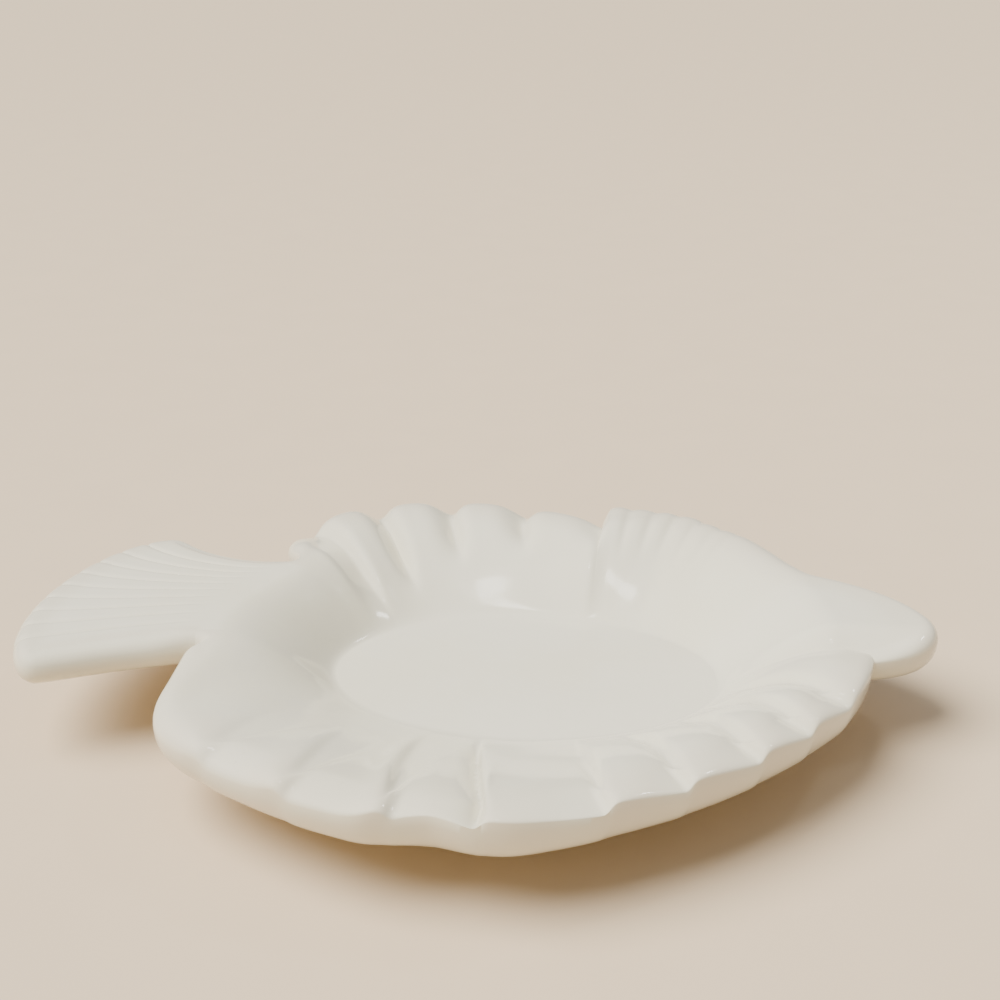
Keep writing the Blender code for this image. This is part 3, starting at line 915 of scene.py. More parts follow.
    def stations(self) -> Stations:
        """Cuts through the fin, in the order of rising angles."""
        angles, arc, arc_normal = self.angles()
        start, course = self.well.spokes(angles)
        away = np.abs(angles - self.crook_angle())
        crest = self.line(angles, arc, 1.0)
        even = self.line(angles, arc, 0.0)
        normal = outward(even) * self.side
        leave = np.linspace(0.0, self.crook_leave, len(arc))[:, None]
        normal[: len(arc)] = mix(arc_normal, normal[: len(arc)], leave)
        normal = relax(unit(normal), self.normal_rounds)
        walk = lengths(crest)
        left = walk[-1] - walk
        normal = unit(mix(course, normal, smooth(left / self.end_turn)[:, None]))
        normal[0] = arc_normal[0]
        end_bend = filleted(left, self.end_round, self.end_fillet)
        ease = smooth(away / self.ease_span)
        crest_run = np.linalg.norm(crest - start, axis=1)
        past = smooth((walk - walk[len(arc) - 1]) / self.lip_span)
        drawn_in = (1.0 - self.low_share) * self.lobes.scallop(angles) * past
        run = mix(self.neck.lip_run, self.lip_run, past)[:, None]
        outer = self.line(angles, arc, self.low_share) + normal * run
        low_run = mix(self.neck.lip_run, self.low_run, past)[:, None]
        height = np.minimum(through(self.heights, angles), self.neck.height)
        top = mix(self.neck.height, height, ease)
        drop = mix(self.neck.thickness / 2, through(self.bulge_drops, angles), ease)
        full = np.minimum(self.wall_run(start, course, crest_run, away) / crest_run, 1.0)
        rows = Stations(
            start=start,
            even=mix(crest, even, smooth(left / self.end_even)[:, None]),
            crest=crest,
            outer=outer,
            under=outer - normal * low_run,
            top=top,
            bulge=top - drop - self.bulge_follow * drawn_in,
            low=mix(self.neck.height - self.neck.thickness, height - self.thickness, ease),
            sunk=self.flutes(angles, full) * smooth(away / self.flute_span)[:, None],
            full=full,
            power=mix(self.neck.power, through(self.powers, angles), ease) - self.end_power * end_bend,
        )
        return rows if self.side is Side.BELLY else rows.reverse()

    def flutes(self, angles: np.ndarray, full: np.ndarray) -> np.ndarray:
        """Depth of the flutes over the wall.

        Args:
            angles: angles of the cuts.
            full: share of the run at which the wall has its full height, at each cut.

        Returns:
            Depths, with a row per cut and a column per row of the blank.
        """
        along = np.minimum(self.wall.shares()[None, :] / full[:, None], 1.0)
        inner = angles
        if self.flute_starts:
            lines = tuple((start, end) for end, start in self.flute_starts)
            inner = through(lines, self.well.start_angles(angles))
        line = mix(inner[:, None], angles[:, None], along)
        begin = self.lobes.between("start", line)
        return self.lobes.flute(line) * smooth((along - begin) / (self.lobes.between("full", line) - begin))

    def wall_run(
        self, start: np.ndarray, course: np.ndarray, crest_run: np.ndarray, away: np.ndarray
    ) -> np.ndarray:
        """Run at which the wall has its full height.

        Args:
            start: starts of the spokes.
            course: directions of the spokes.
            crest_run: run of the crest.
            away: angle from the crook.

        Returns:
            The run of the neck at the crook, passing over into the run of the crest.
        """
        neck_run = np.minimum(self.well.run_to(start, course, self.neck.radius(self.side)), crest_run)
        return mix(neck_run, crest_run, smooth(away / self.wall_span))


@dataclass
class Head(Section):
    """Smooth head with a snout, between the notch below the snout and the gill line.

    Attributes:
        well: the well that its wall rises from.
        wall: sizes of the wall.
        fin: the dorsal fin that it meets at the gill line.
        node: CAD node that the head stands for.
        notch_angle: angle of the notch.
        gill_angle: angle of the gill line.
        height: height of the rim.
        thickness: thickness of the lip.
        power: how quickly the wall rises.
        cheek_reach: distance from the middle of the well at which the wall is full below the snout.
        cheek_span: angles between which the wall comes to reach the crest.
        outline: reach of the rim, in pairs of an angle and a distance.
        brow_lines: angles of the fine flutes on the brow.
        brow_depth: depth of those flutes.
        brow_width: half the angle that a flute takes up.
        brow_fade: angle over which the flutes get deeper towards the gill line.
        brow_first: share of their depth that the first of the flutes has.
        brow_range: shares of the wall between which the flutes set in.
        gill_round: radius of the corner at the gill line.
        gill_span: angle over which the wall's run passes over to the dorsal fin's.
        gill_step: share of the difference in run that stays as a step at the gill line.
        gill_turn: distance over which the lip turns to the dorsal fin's direction, and the share of it held.
        snout_lip: upper run and drop of the lip round the snout.
        snout_span: angles between which the snout's lip passes over into the cheek's.
        notch_roll: how far the wall rolls down at the notch.
        notch_span: angle over which it rolls down.
        notch_range: shares of the wall between which the roll sets in.
        notch_turn: distance over which the lip turns at the notch.
        normal_rounds: how often the directions of the lip are smoothed.
    """

    well: Well
    wall: Wall
    fin: Fin
    node: str = "head"
    notch_angle: float = -5.5
    gill_angle: float = 75.5
    height: float = 0.0200
    thickness: float = 0.0082
    power: float = 1.6
    cheek_reach: float = 0.0590
    cheek_span: tuple = (14.0, 30.0)
    outline: tuple = (
        (-5.5, 0.0603), (-3.8, 0.0632), (-2.6, 0.0672), (-1.2, 0.0708), (0.6, 0.0733), (2.5, 0.0740),
        (4.6, 0.0732), (7.8, 0.0712), (11.0, 0.0686), (15.4, 0.0647), (20.3, 0.0606), (28.0, 0.0588),
        (36.0, 0.0590), (43.0, 0.0596), (50.0, 0.0593), (57.0, 0.0600), (64.0, 0.0588), (75.5, 0.0570),
    )
    brow_lines: tuple = (44.5, 48.5, 53.8, 59.0, 64.0, 69.5, 75.5)
    brow_depth: float = 0.00045
    brow_width: float = 1.1
    brow_fade: float = 20.0
    brow_first: float = 0.35
    brow_range: tuple = (0.45, 0.95)
    gill_round: float = 0.0034
    gill_span: float = 20.0
    gill_step: float = 0.25
    gill_turn: tuple = (0.012, 0.3)
    snout_lip: tuple = (0.0030, 0.0030)
    snout_span: tuple = (10.0, 30.0)
    notch_roll: float = 0.0028
    notch_span: float = 7.0
    notch_range: tuple = (0.1, 0.9)
    notch_turn: float = 0.004
    normal_rounds: int = 4

    def crest_run(self, angles: np.ndarray) -> tuple[np.ndarray, np.ndarray, np.ndarray]:
        """Starts, directions and lengths of the spokes up to the crest."""
        start, course = self.well.spokes(angles)
        fin_reach = self.fin.reach(np.array([self.gill_angle]))
        reach = mix(through(self.outline, angles), fin_reach, self.gill_corner(angles))
        return start, course, self.well.run_to(start, course, reach) - self.wall.lip_run

    def gill_corner(self, angles: np.ndarray) -> np.ndarray:
        """Share by which the head's corner at the gill line falls back to the dorsal fin."""
        return quarter_round(np.radians(self.gill_angle - angles) * self.well.spoke_circle, self.gill_round)

    def stations(self) -> Stations:
        """Cuts through the head from the notch to the gill line."""
        fine = np.linspace(self.notch_angle, self.gill_angle, FINE_STEPS)
        start, course, run = self.crest_run(fine)
        walk = lengths(start + course * run[:, None])
        count = math.ceil(walk[-1] / self.wall.station_step)
        angles = np.interp(np.linspace(0.0, walk[-1], count + 1), walk, fine)
        start, course, crest_run = self.crest_run(angles)
        crest = start + course * crest_run[:, None]
        normal = relax(outward(crest), self.normal_rounds)
        walk = lengths(crest)
        turn, held = self.gill_turn
        clear = np.minimum(smooth(walk / self.notch_turn), smooth((walk[-1] - walk) / turn - held))[:, None]
        cheek_run = self.well.run_to(start, course, self.cheek_reach) - self.wall.lip_run
        cheek = eased(angles, self.cheek_span)
        full = mix(np.minimum(cheek_run / crest_run, 1.0), 1.0, cheek)
        fin = self.fin.stations()
        fin_run = float(np.linalg.norm(fin.crest[0] - fin.start[0]) * fin.full[0])
        corner = self.gill_corner(angles)
        near = smooth(1.0 - (self.gill_angle - angles) / self.gill_span)
        full = mix(full, mix(fin_run / crest_run, 1.0, self.gill_step), near)
        full = mix(full, np.minimum(fin_run / crest_run, 1.0), corner)
        lines = np.array(self.brow_lines)[None, :]
        brow = np.exp(-(((angles[:, None] - lines) / self.brow_width) ** 2)).sum(axis=1)
        strength = smooth((angles - self.brow_lines[0]) / self.brow_fade + self.brow_first)
        notch = 1.0 - smooth((angles - self.notch_angle) / self.notch_span)
        along = np.minimum(self.wall.shares()[None, :] / full[:, None], 1.0)
        sunk = (self.brow_depth * brow * strength)[:, None] * eased(along, self.brow_range)
        sunk = sunk + (self.notch_roll * notch)[:, None] * eased(along, self.notch_range)
        outer = crest + unit(mix(course, unit(normal), clear)) * self.wall.lip_run
        snout = 1.0 - eased(angles, self.snout_span)
        upper_run = mix(self.wall.lip_run, self.snout_lip[0], snout)[:, None]
        drop = mix(self.thickness / 2, self.snout_lip[1], snout)
        upper = mix(outer, crest, upper_run / self.wall.lip_run)
        return Stations(
            start=start,
            even=upper,
            crest=upper,
            outer=outer,
            under=crest,
            top=mix(self.height, fin.top[0], corner),
            bulge=mix(self.height - drop, fin.bulge[0], corner),
            low=mix(self.height - self.thickness, fin.low[0], corner),
            sunk=mix(sunk, fin.sunk[0][None, :], corner[:, None]),
            full=full,
            power=mix(self.power, fin.power[0], corner),
        )


@dataclass
class Tail(Section):
    """Fan tail that the wall passes over into at the neck.

    Attributes:
        well: the well that its wall rises from.
        wall: sizes of the wall.
        neck: the neck that it starts from.
        crooks: roundings at its dorsal and its belly side.
        node: CAD node that the tail stands for.
        centre: point from which the rays of the fan spread.
        radii: distance of the fan's edge from it, at the dorsal and at the belly side.
        corner_drops: how far the edge draws in at the dorsal and at the belly corner.
        corner_power: how close to the corners the edge draws in.
        axis_angle: direction of the middle ray.
        half_angle: angle from it to the outermost rays.
        rays: number of rays.
        ray_steps: number of steps across a ray.
        fan_rows: number of steps from the neck to the edge.
        groove: depth of the grooves between rays.
        groove_span: share of the fan over which the grooves set in.
        groove_pool: how much glaze pools in a groove.
        groove_sharpness: how narrow the grooves are.
        scallop: how far the edge draws in at a groove.
        rim_span: shares of the fan between which the glaze comes to lie thinly and the edge gets painted
            shade.
        lip_span: distance from the crooks over which the lip widens.
        normal_rounds: how often the directions of the lip are smoothed.
    """

    well: Well
    wall: Wall
    neck: Neck
    crooks: tuple
    node: str = "tail_fin"
    centre: tuple = (-0.0430, -0.0016)
    radii: tuple = (0.0470, 0.0489)
    corner_drops: tuple = (0.0030, 0.0012)
    corner_power: int = 6
    axis_angle: float = 169.25
    half_angle: float = 33.75
    rays: int = 10
    ray_steps: int = 14
    fan_rows: int = 40
    groove: float = 0.00028
    groove_span: float = 0.35
    groove_pool: float = 0.6
    groove_sharpness: float = 3.0
    scallop: float = 0.0004
    rim_span: tuple = (0.85, 1.0)
    lip_span: float = 0.008
    normal_rounds: int = 10

    def places(self) -> np.ndarray:
        """Places of the tail's stations."""
        return np.linspace(-1.0, 1.0, self.rays * self.ray_steps + 1)

    def between_rays(self, places: np.ndarray) -> np.ndarray:
        """Share of the groove depth at places across the tail."""
        across = (places + 1.0) / 2 * self.rays % 1.0
        return (1.0 - 4.0 * across * (1.0 - across)) ** self.groove_sharpness

    def ray(self, places: np.ndarray) -> np.ndarray:
        """Directions of rays at the fan's edge."""
        return polar(self.axis_angle + self.half_angle * places, 1.0)

    def mouth(self, places: np.ndarray) -> tuple[np.ndarray, np.ndarray]:
        """Points just past the neck where the crooks' roundings begin, and the directions there."""
        _, neck, leave = self.neck.root(places)
        past = mix(self.crooks[0].tangent(), self.crooks[1].tangent(), (places + 1.0) / 2)
        return neck + leave * past[:, None], leave

    def fan(self, places: np.ndarray, share: np.ndarray) -> np.ndarray:
        """Plan points of the fan.

        Args:
            places: places across the tail.
            share: share of the way from the neck to the start of the rounded edge.

        Returns:
            The points.
        """
        neck, leave = self.mouth(places)
        drop = np.where(places < 0.0, self.corner_drops[0], self.corner_drops[1]) * places**self.corner_power
        reach = mix(self.radii[0], self.radii[1], (places + 1.0) / 2) - drop
        reach = reach - self.neck.thickness / 2 - self.scallop * self.between_rays(places)
        edge = np.array(self.centre) + self.ray(places) * reach[:, None]
        length = np.linalg.norm(edge - neck, axis=1)
        go = ((share - 2 * share**2 + share**3) * length)[:, None]
        come = ((share**3 - share**2) * length)[:, None]
        return mix(neck, edge, smooth(share)[:, None]) + leave * go + self.ray(places) * come

    def stations(self) -> Stations:
        """Cuts through the wall below the tail."""
        places = self.places()
        start, neck, _ = self.neck.root(places)
        mouth, _ = self.mouth(places)
        same = np.ones(len(places))
        return Stations(
            start=start,
            even=mouth,
            crest=mouth,
            outer=mouth,
            under=mouth,
            top=self.neck.height * same,
            bulge=(self.neck.height - self.neck.thickness / 2) * same,
            low=(self.neck.height - self.neck.thickness) * same,
            sunk=np.zeros((len(places), self.wall.rows + 1)),
            full=np.linalg.norm(neck - start, axis=1) / np.linalg.norm(mouth - start, axis=1),
            power=self.neck.power * same,
        )

    def edge_normals(self, places: np.ndarray) -> tuple[np.ndarray, np.ndarray]:
        """Plan normals and lip widths along the tail's free edge.

        Args:
            places: places across the tail.

        Returns:
            Normals and lip widths for each place and row of the fan; rows count from the neck.
        """
        last, fan = len(places) - 1, self.fan_rows
        path = [(0, row) for row in range(fan + 1)]
        path += [(number, fan) for number in range(1, last + 1)]
        path += [(last, row) for row in range(fan - 1, -1, -1)]
        numbers, rows = np.array(path).T
        points = self.fan(places[numbers], rows / fan)
        normal = outward(points)
        normal[0] = self.crooks[0].arc(1)[1][0]
        normal[-1] = self.crooks[1].arc(1)[1][0]
        normal = unit(relax(normal, self.normal_rounds))
        walk = lengths(points)
        near = np.minimum(walk, walk[-1] - walk)
        widths = mix(self.neck.lip_run, self.neck.thickness / 2, smooth(near / self.lip_span))
        grid = np.zeros((last + 1, fan + 1, 2))
        run = np.zeros((last + 1, fan + 1))
        grid[numbers, rows] = normal
        run[numbers, rows] = widths
        return grid, run

    def press(self, number: np.ndarray, row: np.ndarray, depth: np.ndarray) -> Pressed:
        """Press points of the tail's blank; see WallMould.press."""
        places = self.places()
        wall_row = np.minimum(row, self.wall.rows)
        made = WallMould(self.well, self.wall, self.stations()).press(number, wall_row, depth)
        fan_row = np.maximum(np.rint(row - self.wall.rows), 0).astype(int)
        out = row >= self.wall.rows
        share = fan_row[out] / self.fan_rows
        at = places[number[out]]
        grid, run = self.edge_normals(places)
        stand, level = self.wall.lip(depth[out])
        plan = self.fan(at, share)
        normal = grid[number[out], fan_row[out]]
        plan = plan + normal * (run[number[out], fan_row[out]] * stand)[:, None]
        cut = self.between_rays(at) * smooth(share / self.groove_span)
        upper = self.neck.height - self.groove * cut
        lower = self.neck.height - self.neck.thickness
        made.place[out] = np.column_stack([plan, (upper + lower) / 2 + (upper - lower) / 2 * level])
        # Thinly glazed edge of the fan, which also gets painted shade.
        rim = np.maximum(eased(share, self.rim_span), eased(np.abs(at), self.rim_span))
        made.thin[:] = 0.0
        made.thin[out] = rim * (1.0 - cut)
        made.pool[:] = 0.0
        made.pool[out] = self.groove_pool * cut
        return made

    def rows(self) -> int:
        """Number of steps of the blank, up the wall and on over the fan."""
        return self.wall.rows + self.fan_rows

    def is_rim(self, station: int, row: int) -> bool:
        """Whether a point of the blank lies on the free edge, which also runs along both sides of the fan."""
        return row == self.rows() or (row >= self.wall.rows and station in (0, self.rays * self.ray_steps))

    def mould(self) -> "Tail":
        """Mould that the blank is pressed into, which is the tail's own."""
        return self


@dataclass
class Base:
    """Floor of the well and the foot ring below it.

    Attributes:
        well: sizes of the well.
        floor_node: CAD node of the floor.
        foot_node: CAD node of the foot ring.
        foot_inset: how far the ring stands inside the floor's oval.
        foot_width: width of the ring.
        foot_round: radius of its edges.
        foot_steps: number of steps round the ring.
        round_steps: number of steps round its edges.
    """

    well: Well
    floor_node: str = "well_floor"
    foot_node: str = "foot_ring"
    foot_inset: float = 0.0015
    foot_width: float = 0.0045
    foot_round: float = 0.0011
    foot_steps: int = 192
    round_steps: int = 4

    def build_floor(self, edge: np.ndarray, middle: np.ndarray) -> bpy.types.Object:
        """Oval floor whose edge meets the walls point by point.

        Args:
            edge: plan points of the floor's edge in order.
            middle: plan place of the middle of the well.

        Returns:
            The floor.
        """
        Bench.clear_selection()
        bpy.ops.mesh.primitive_circle_add(vertices=len(edge), radius=self.well.length / 2, fill_type="NGON")
        piece = bpy.context.active_object
        piece.name = f"{self.floor_node}_glazed"
        piece.data.name = piece.name
        level = np.full(len(edge), self.well.floor)
        piece.data.vertices.foreach_set("co", np.column_stack([edge + middle, level]).ravel())
        bpy.ops.object.mode_set(mode="EDIT")
        bpy.ops.mesh.select_all(action="SELECT")
        down = (0.0, 0.0, -self.well.thickness)
        bpy.ops.mesh.extrude_region_move(TRANSFORM_OT_translate={"value": down})
        bpy.ops.object.mode_set(mode="OBJECT")
        for name in ("thin", "pool"):
            piece.data.attributes.new(name, "FLOAT", "POINT")
        Bench.finish(piece)
        return piece

    def build_foot(self, middle: np.ndarray) -> bpy.types.Object:
        """Oval foot ring with softened edges.

        Args:
            middle: plan place of the middle of the well.

        Returns:
            The foot ring.
        """
        Bench.clear_selection()
        bpy.ops.mesh.primitive_circle_add(
            vertices=self.foot_steps, radius=0.5, fill_type="NGON", location=(*middle, 0.0)
        )
        piece = bpy.context.active_object
        piece.name = f"{self.foot_node}_bare"
        piece.data.name = piece.name
        bpy.ops.object.mode_set(mode="EDIT")
        bpy.ops.mesh.select_all(action="SELECT")
        size = (self.well.length - 2 * self.foot_inset, self.well.width - 2 * self.foot_inset, 1.0)
        bpy.ops.transform.resize(value=size, center_override=(*middle, 0.0))
        bpy.ops.mesh.inset(thickness=self.foot_width)
        bpy.ops.mesh.delete(type="FACE")
        bpy.ops.mesh.select_all(action="SELECT")
        height = self.well.floor - self.well.thickness
        bpy.ops.mesh.extrude_region_move(TRANSFORM_OT_translate={"value": (0.0, 0.0, height)})
        bpy.ops.object.mode_set(mode="OBJECT")
        bpy.ops.object.transform_apply(location=True, rotation=True, scale=True)
        rounding = piece.modifiers.new("rounding", "BEVEL")
        rounding.width = self.foot_round
        rounding.segments = self.round_steps
        rounding.limit_method = "ANGLE"
        bpy.ops.object.modifier_apply(modifier=rounding.name)
        Bench.finish(piece)
        return piece


# Shader expressions


class Value:
    """Socket of a shader node that can be used in Python expressions."""

    def __init__(self, tree: bpy.types.NodeTree, socket: bpy.types.NodeSocket) -> None:
        """Wrap an output socket of a node tree."""
        self.tree = tree
        self.socket = socket

    def _math(self, operation: str, first: "Term", second: "Term") -> "Value":
        """Value of a Math node on two terms."""
        node = self.tree.nodes.new("ShaderNodeMath")
        node.operation = operation
        for socket, term in zip(node.inputs, (first, second)):
            if isinstance(term, Value):
                self.tree.links.new(term.socket, socket)
            else:
                socket.default_value = term
        return Value(self.tree, node.outputs[0])

    def __add__(self, other: "Term") -> "Value":
        """Sum."""
        return self._math("ADD", self, other)

    def __radd__(self, other: "Term") -> "Value":
        """Sum, reflected."""
        return self._math("ADD", other, self)

    def __mul__(self, other: "Term") -> "Value":
        """Product."""
        return self._math("MULTIPLY", self, other)

    def __rmul__(self, other: "Term") -> "Value":
        """Product, reflected."""
        return self._math("MULTIPLY", other, self)


Term = Union[Value, float]


class Shader:
    """Material under construction.

    Attributes:
        FIRST_COLOUR: number of a Mix node's first input for colours, whose name other inputs share.
        SECOND_COLOUR: number of its second input for colours.
        MIXED_COLOUR: number of its output for colours.
    """

    FIRST_COLOUR: ClassVar[int] = 6
    SECOND_COLOUR: ClassVar[int] = 7
    MIXED_COLOUR: ClassVar[int] = 2

    def __init__(self, name: str) -> None:
        """Start a material with only its Principled BSDF."""
        self.material = bpy.data.materials.new(name)
        self.material.use_nodes = True
        self.tree = self.material.node_tree
        self.surface = self.tree.nodes["Principled BSDF"]

    def node(
        self, kind: str, settings: Optional[dict] = None, sockets: Optional[dict] = None, out: Any = 0
    ) -> Value:
        """Add a node.

        Args:
            kind: type of the node.
            settings: properties of the node, set first.
            sockets: values or links of its inputs.
            out: name or number of the output that is wanted.

        Returns:
            The output.
        """
        made = self.tree.nodes.new(kind)
        for name, value in (settings or {}).items():
            setattr(made, name, value)
        for name, value in (sockets or {}).items():
            self.feed(made.inputs[name], value)
        return Value(self.tree, made.outputs[out])

    def feed(self, socket: bpy.types.NodeSocket, value: Any) -> None:
        """Link a value to a socket, or set the socket to a constant."""
        if isinstance(value, Value):
            self.tree.links.new(value.socket, socket)
        else:
            socket.default_value = value

    def set(self, **inputs: Any) -> None:
        """Set inputs of the surface, with underscores for the spaces in their names."""
        for name, value in inputs.items():
            self.feed(self.surface.inputs[name.replace("_", " ")], value)

    def object_place(self) -> Value:
        """Object coordinates."""
        return self.node("ShaderNodeTexCoord", out="Object")

    def noise(self, place: Value, scale: float, detail: float = 2.0) -> Value:
        """Noise between 0 and 1."""
        sockets = {"Vector": place, "Scale": scale, "Detail": detail}
        return self.node("ShaderNodeTexNoise", sockets=sockets)

    def attribute(self, name: str) -> Value:
        """Value of a mesh attribute."""
        return self.node("ShaderNodeAttribute", {"attribute_name": name}, out="Fac")

    def between(self, share: Term, first: Any, second: Any) -> Value:
        """Colour between two colours."""
        sockets = {"Factor": share, self.FIRST_COLOUR: first, self.SECOND_COLOUR: second}
        return self.node("ShaderNodeMix", {"data_type": "RGBA"}, sockets, out=self.MIXED_COLOUR)

    def ramp(self, value: Value, low: float, high: float) -> Value:
        """Value stretched so that low gives 0 and high gives 1."""
        sockets = {"Value": value, "From Min": low, "From Max": high}
        return self.node("ShaderNodeMapRange", {"clamp": True}, sockets)

    def bump(self, height: Value, strength: float, distance: float) -> Value:
        """Normal of a surface with a fine relief."""
        sockets = {"Height": height, "Strength": strength, "Distance": distance}
        return self.node("ShaderNodeBump", sockets=sockets)


@dataclass(frozen=True)
class Finish:
    """Surface finish of a piece.

    Attributes:
        name: name of its material.
    """

    name: str

    def make(self) -> bpy.types.Material:
        """Make the material once and use it again afterwards."""
        found = bpy.data.materials.get(self.name)
        return found if found else self.mix_up()

    def mix_up(self) -> bpy.types.Material:
        """Make the material."""
        raise NotImplementedError


@dataclass(frozen=True)
class Glaze(Finish):
    """Glossy ivory glaze that thins over crowns and edges and pools in the grooves, with painted shade on its
    lips.

    Attributes:
        body: colour of the glaze.
        cloud: colour of its paler clouds.
        thin: colour where it lies thinly, made darker so that it also paints the warm shade on the lips.
        pool: colour where it pools.
        speck: colour of the few specks in it.
        speck_share: how much the specks show.
        thin_and_shade_share: how much the colour of thinly lying glaze and painted shade shows, at least and
            as a share of the flow.
        pool_share: how much the pooled colour shows.
        gloss: roughness, and how far it changes with the flow.
        bending: index of refraction.
        coat: weight and roughness of the clear skin on it.
        cloud_scale: number of clouds in a metre.
        cloud_span: values of the noise between which a cloud sets in.
        flow_scale: number of runs of glaze in a metre.
        ripple_scale: number of ripples in a metre.
        ripple_share: height of the ripples as a share of the flow's.
        speck_scale: number of specks in a metre.
        speck_span: values of the noise between which a speck sets in.
        relief: strength and height of the waves that flow and ripples make.
    """

    name: str = "ivory_glaze"
    body: tuple = (0.795, 0.745, 0.570, 1.0)
    cloud: tuple = (0.810, 0.765, 0.605, 1.0)
    # Colour of thinly lying glaze, made darker to paint the warm shade on the lips.
    thin: tuple = (0.700, 0.620, 0.480, 1.0)
    pool: tuple = (0.740, 0.690, 0.530, 1.0)
    speck: tuple = (0.45, 0.38, 0.30, 1.0)
    speck_share: float = 0.10
    thin_and_shade_share: tuple = (0.25, 0.35)
    pool_share: float = 0.5
    gloss: tuple = (0.12, 0.05)
    bending: float = 1.52
    coat: tuple = (0.35, 0.06)
    cloud_scale: float = 38.0
    cloud_span: tuple = (0.38, 0.64)
    flow_scale: float = 120.0
    ripple_scale: float = 260.0
    ripple_share: float = 0.6
    speck_scale: float = 900.0
    speck_span: tuple = (0.76, 0.82)
    relief: tuple = (0.12, 0.0006)

    def mix_up(self) -> bpy.types.Material:
        """Make the glaze."""
        shader = Shader(self.name)
        place = shader.object_place()
        cloud = shader.ramp(shader.noise(place, self.cloud_scale, detail=3.0), *self.cloud_span)
        speck = shader.ramp(shader.noise(place, self.speck_scale, detail=1.0), *self.speck_span)
        flow = shader.noise(place, self.flow_scale)
        colour = shader.between(cloud, self.body, self.cloud)
        # Thinly glazed crowns and lips, darkened as painted shade.
        least, more = self.thin_and_shade_share
        colour = shader.between(shader.attribute("thin") * (least + more * flow), colour, self.thin)
        colour = shader.between(shader.attribute("pool") * self.pool_share, colour, self.pool)
        colour = shader.between(speck * self.speck_share, colour, self.speck)
        ripple = shader.noise(place, self.ripple_scale, detail=1.0) * self.ripple_share + flow
        gloss, change = self.gloss
        coat, coat_gloss = self.coat
        shader.set(
            Base_Color=colour,
            Roughness=gloss + change * flow,
            IOR=self.bending,
            Coat_Weight=coat,
            Coat_Roughness=coat_gloss,
            Normal=shader.bump(ripple, *self.relief),
        )
        return shader.material


@dataclass(frozen=True)
class BareClay(Finish):
    """Unglazed fired clay of the foot ring.

    Attributes:
        pale: colour of the clay.
        dark: colour of its darker patches.
        rough: roughness, and how far it changes with the grain.
        grain_scale: number of grains in a metre.
        patch_scale: number of patches in a metre.
        patch_span: values of the noise between which a patch sets in.
        relief: strength and height of the grain.
    """

    name: str = "bare_clay_foot"
    pale: tuple = (0.66, 0.58, 0.47, 1.0)
    dark: tuple = (0.50, 0.41, 0.31, 1.0)
    rough: tuple = (0.78, 0.14)
    grain_scale: float = 2200.0
    patch_scale: float = 160.0
    patch_span: tuple = (0.35, 0.70)
    relief: tuple = (0.35, 0.0003)

    def mix_up(self) -> bpy.types.Material:
        """Make the clay."""
        shader = Shader(self.name)
        place = shader.object_place()
        grain = shader.noise(place, self.grain_scale, detail=3.0)
        patch = shader.ramp(shader.noise(place, self.patch_scale, detail=4.0), *self.patch_span)
        rough, change = self.rough
        shader.set(
            Base_Color=shader.between(patch, self.pale, self.dark),
            Roughness=rough + change * grain,
            Normal=shader.bump(grain, *self.relief),
        )
        return shader.material


@dataclass(frozen=True)
class PalePaper(Finish):
    """Plain pale floor of the studio.

    Attributes:
        colour: colour of the paper.
        lightening: how much lighter its fibres are.
        rough: roughness, and how far it changes with the fibres.
        fibre_scale: number of fibres in a metre.
    """

    name: str = "studio_floor"
    colour: tuple = (0.68, 0.54, 0.37, 1.0)
    lightening: float = 1.04
    rough: tuple = (0.55, 0.1)
    fibre_scale: float = 60.0

    def mix_up(self) -> bpy.types.Material:
        """Make the floor's surface."""
        shader = Shader(self.name)
        fibre = shader.noise(shader.object_place(), self.fibre_scale, detail=3.0)
        lighter = tuple(min(part * self.lightening, 1.0) for part in self.colour[:3]) + (1.0,)
        rough, change = self.rough
        shader.set(Base_Color=shader.between(fibre, self.colour, lighter), Roughness=rough + change * fibre)
        return shader.material


# Studio


@dataclass(frozen=True)
class Lamp:
    """Light of the studio.

    Attributes:
        name: name of the light.
        place: where it stands, from the middle of the dish.
        COLOUR: colour of every light.
        MIRRORED: whether the glaze mirrors lights of this kind.
    """

    name: str
    place: tuple
    COLOUR: ClassVar[tuple] = (1.0, 0.98, 0.95)
    MIRRORED: ClassVar[bool] = True

    def source(self) -> bpy.types.Light:
        """Make the source of the light."""
        raise NotImplementedError

    def hang(self, target: Vector) -> None:
        """Hang the light and turn it to a target."""
        source = self.source()
        source.color = self.COLOUR
        lamp = bpy.data.objects.new(self.name, source)
        lamp.visible_glossy = self.MIRRORED
        lamp.location = self.place
        aim = target - Vector(self.place)
        lamp.rotation_euler = aim.to_track_quat("-Z", "Y").to_euler()
        bpy.context.scene.collection.objects.link(lamp)


@dataclass(frozen=True)
class Softbox(Lamp):
    """Round studio light.

    Attributes:
        size: its diameter.
        power: its power in watts.
    """

    size: float
    power: float

    def source(self) -> bpy.types.Light:
        """Make the source of the light."""
        source = bpy.data.lights.new(self.name, "AREA")
        source.shape = "DISK"
        source.size = self.size
        source.energy = self.power
        return source


@dataclass(frozen=True)
class Daylight(Lamp):
    """Soft light of a wide window far away, the same over the whole floor.

    Attributes:
        spread: angle that the window fills.
        strength: light on a surface that faces it, in watts per square metre.
    """

    spread: float
    strength: float
    MIRRORED: ClassVar[bool] = False

    def source(self) -> bpy.types.Light:
        """Make the source of the light."""
        source = bpy.data.lights.new(self.name, "SUN")
        source.angle = math.radians(self.spread)
        source.energy = self.strength
        return source


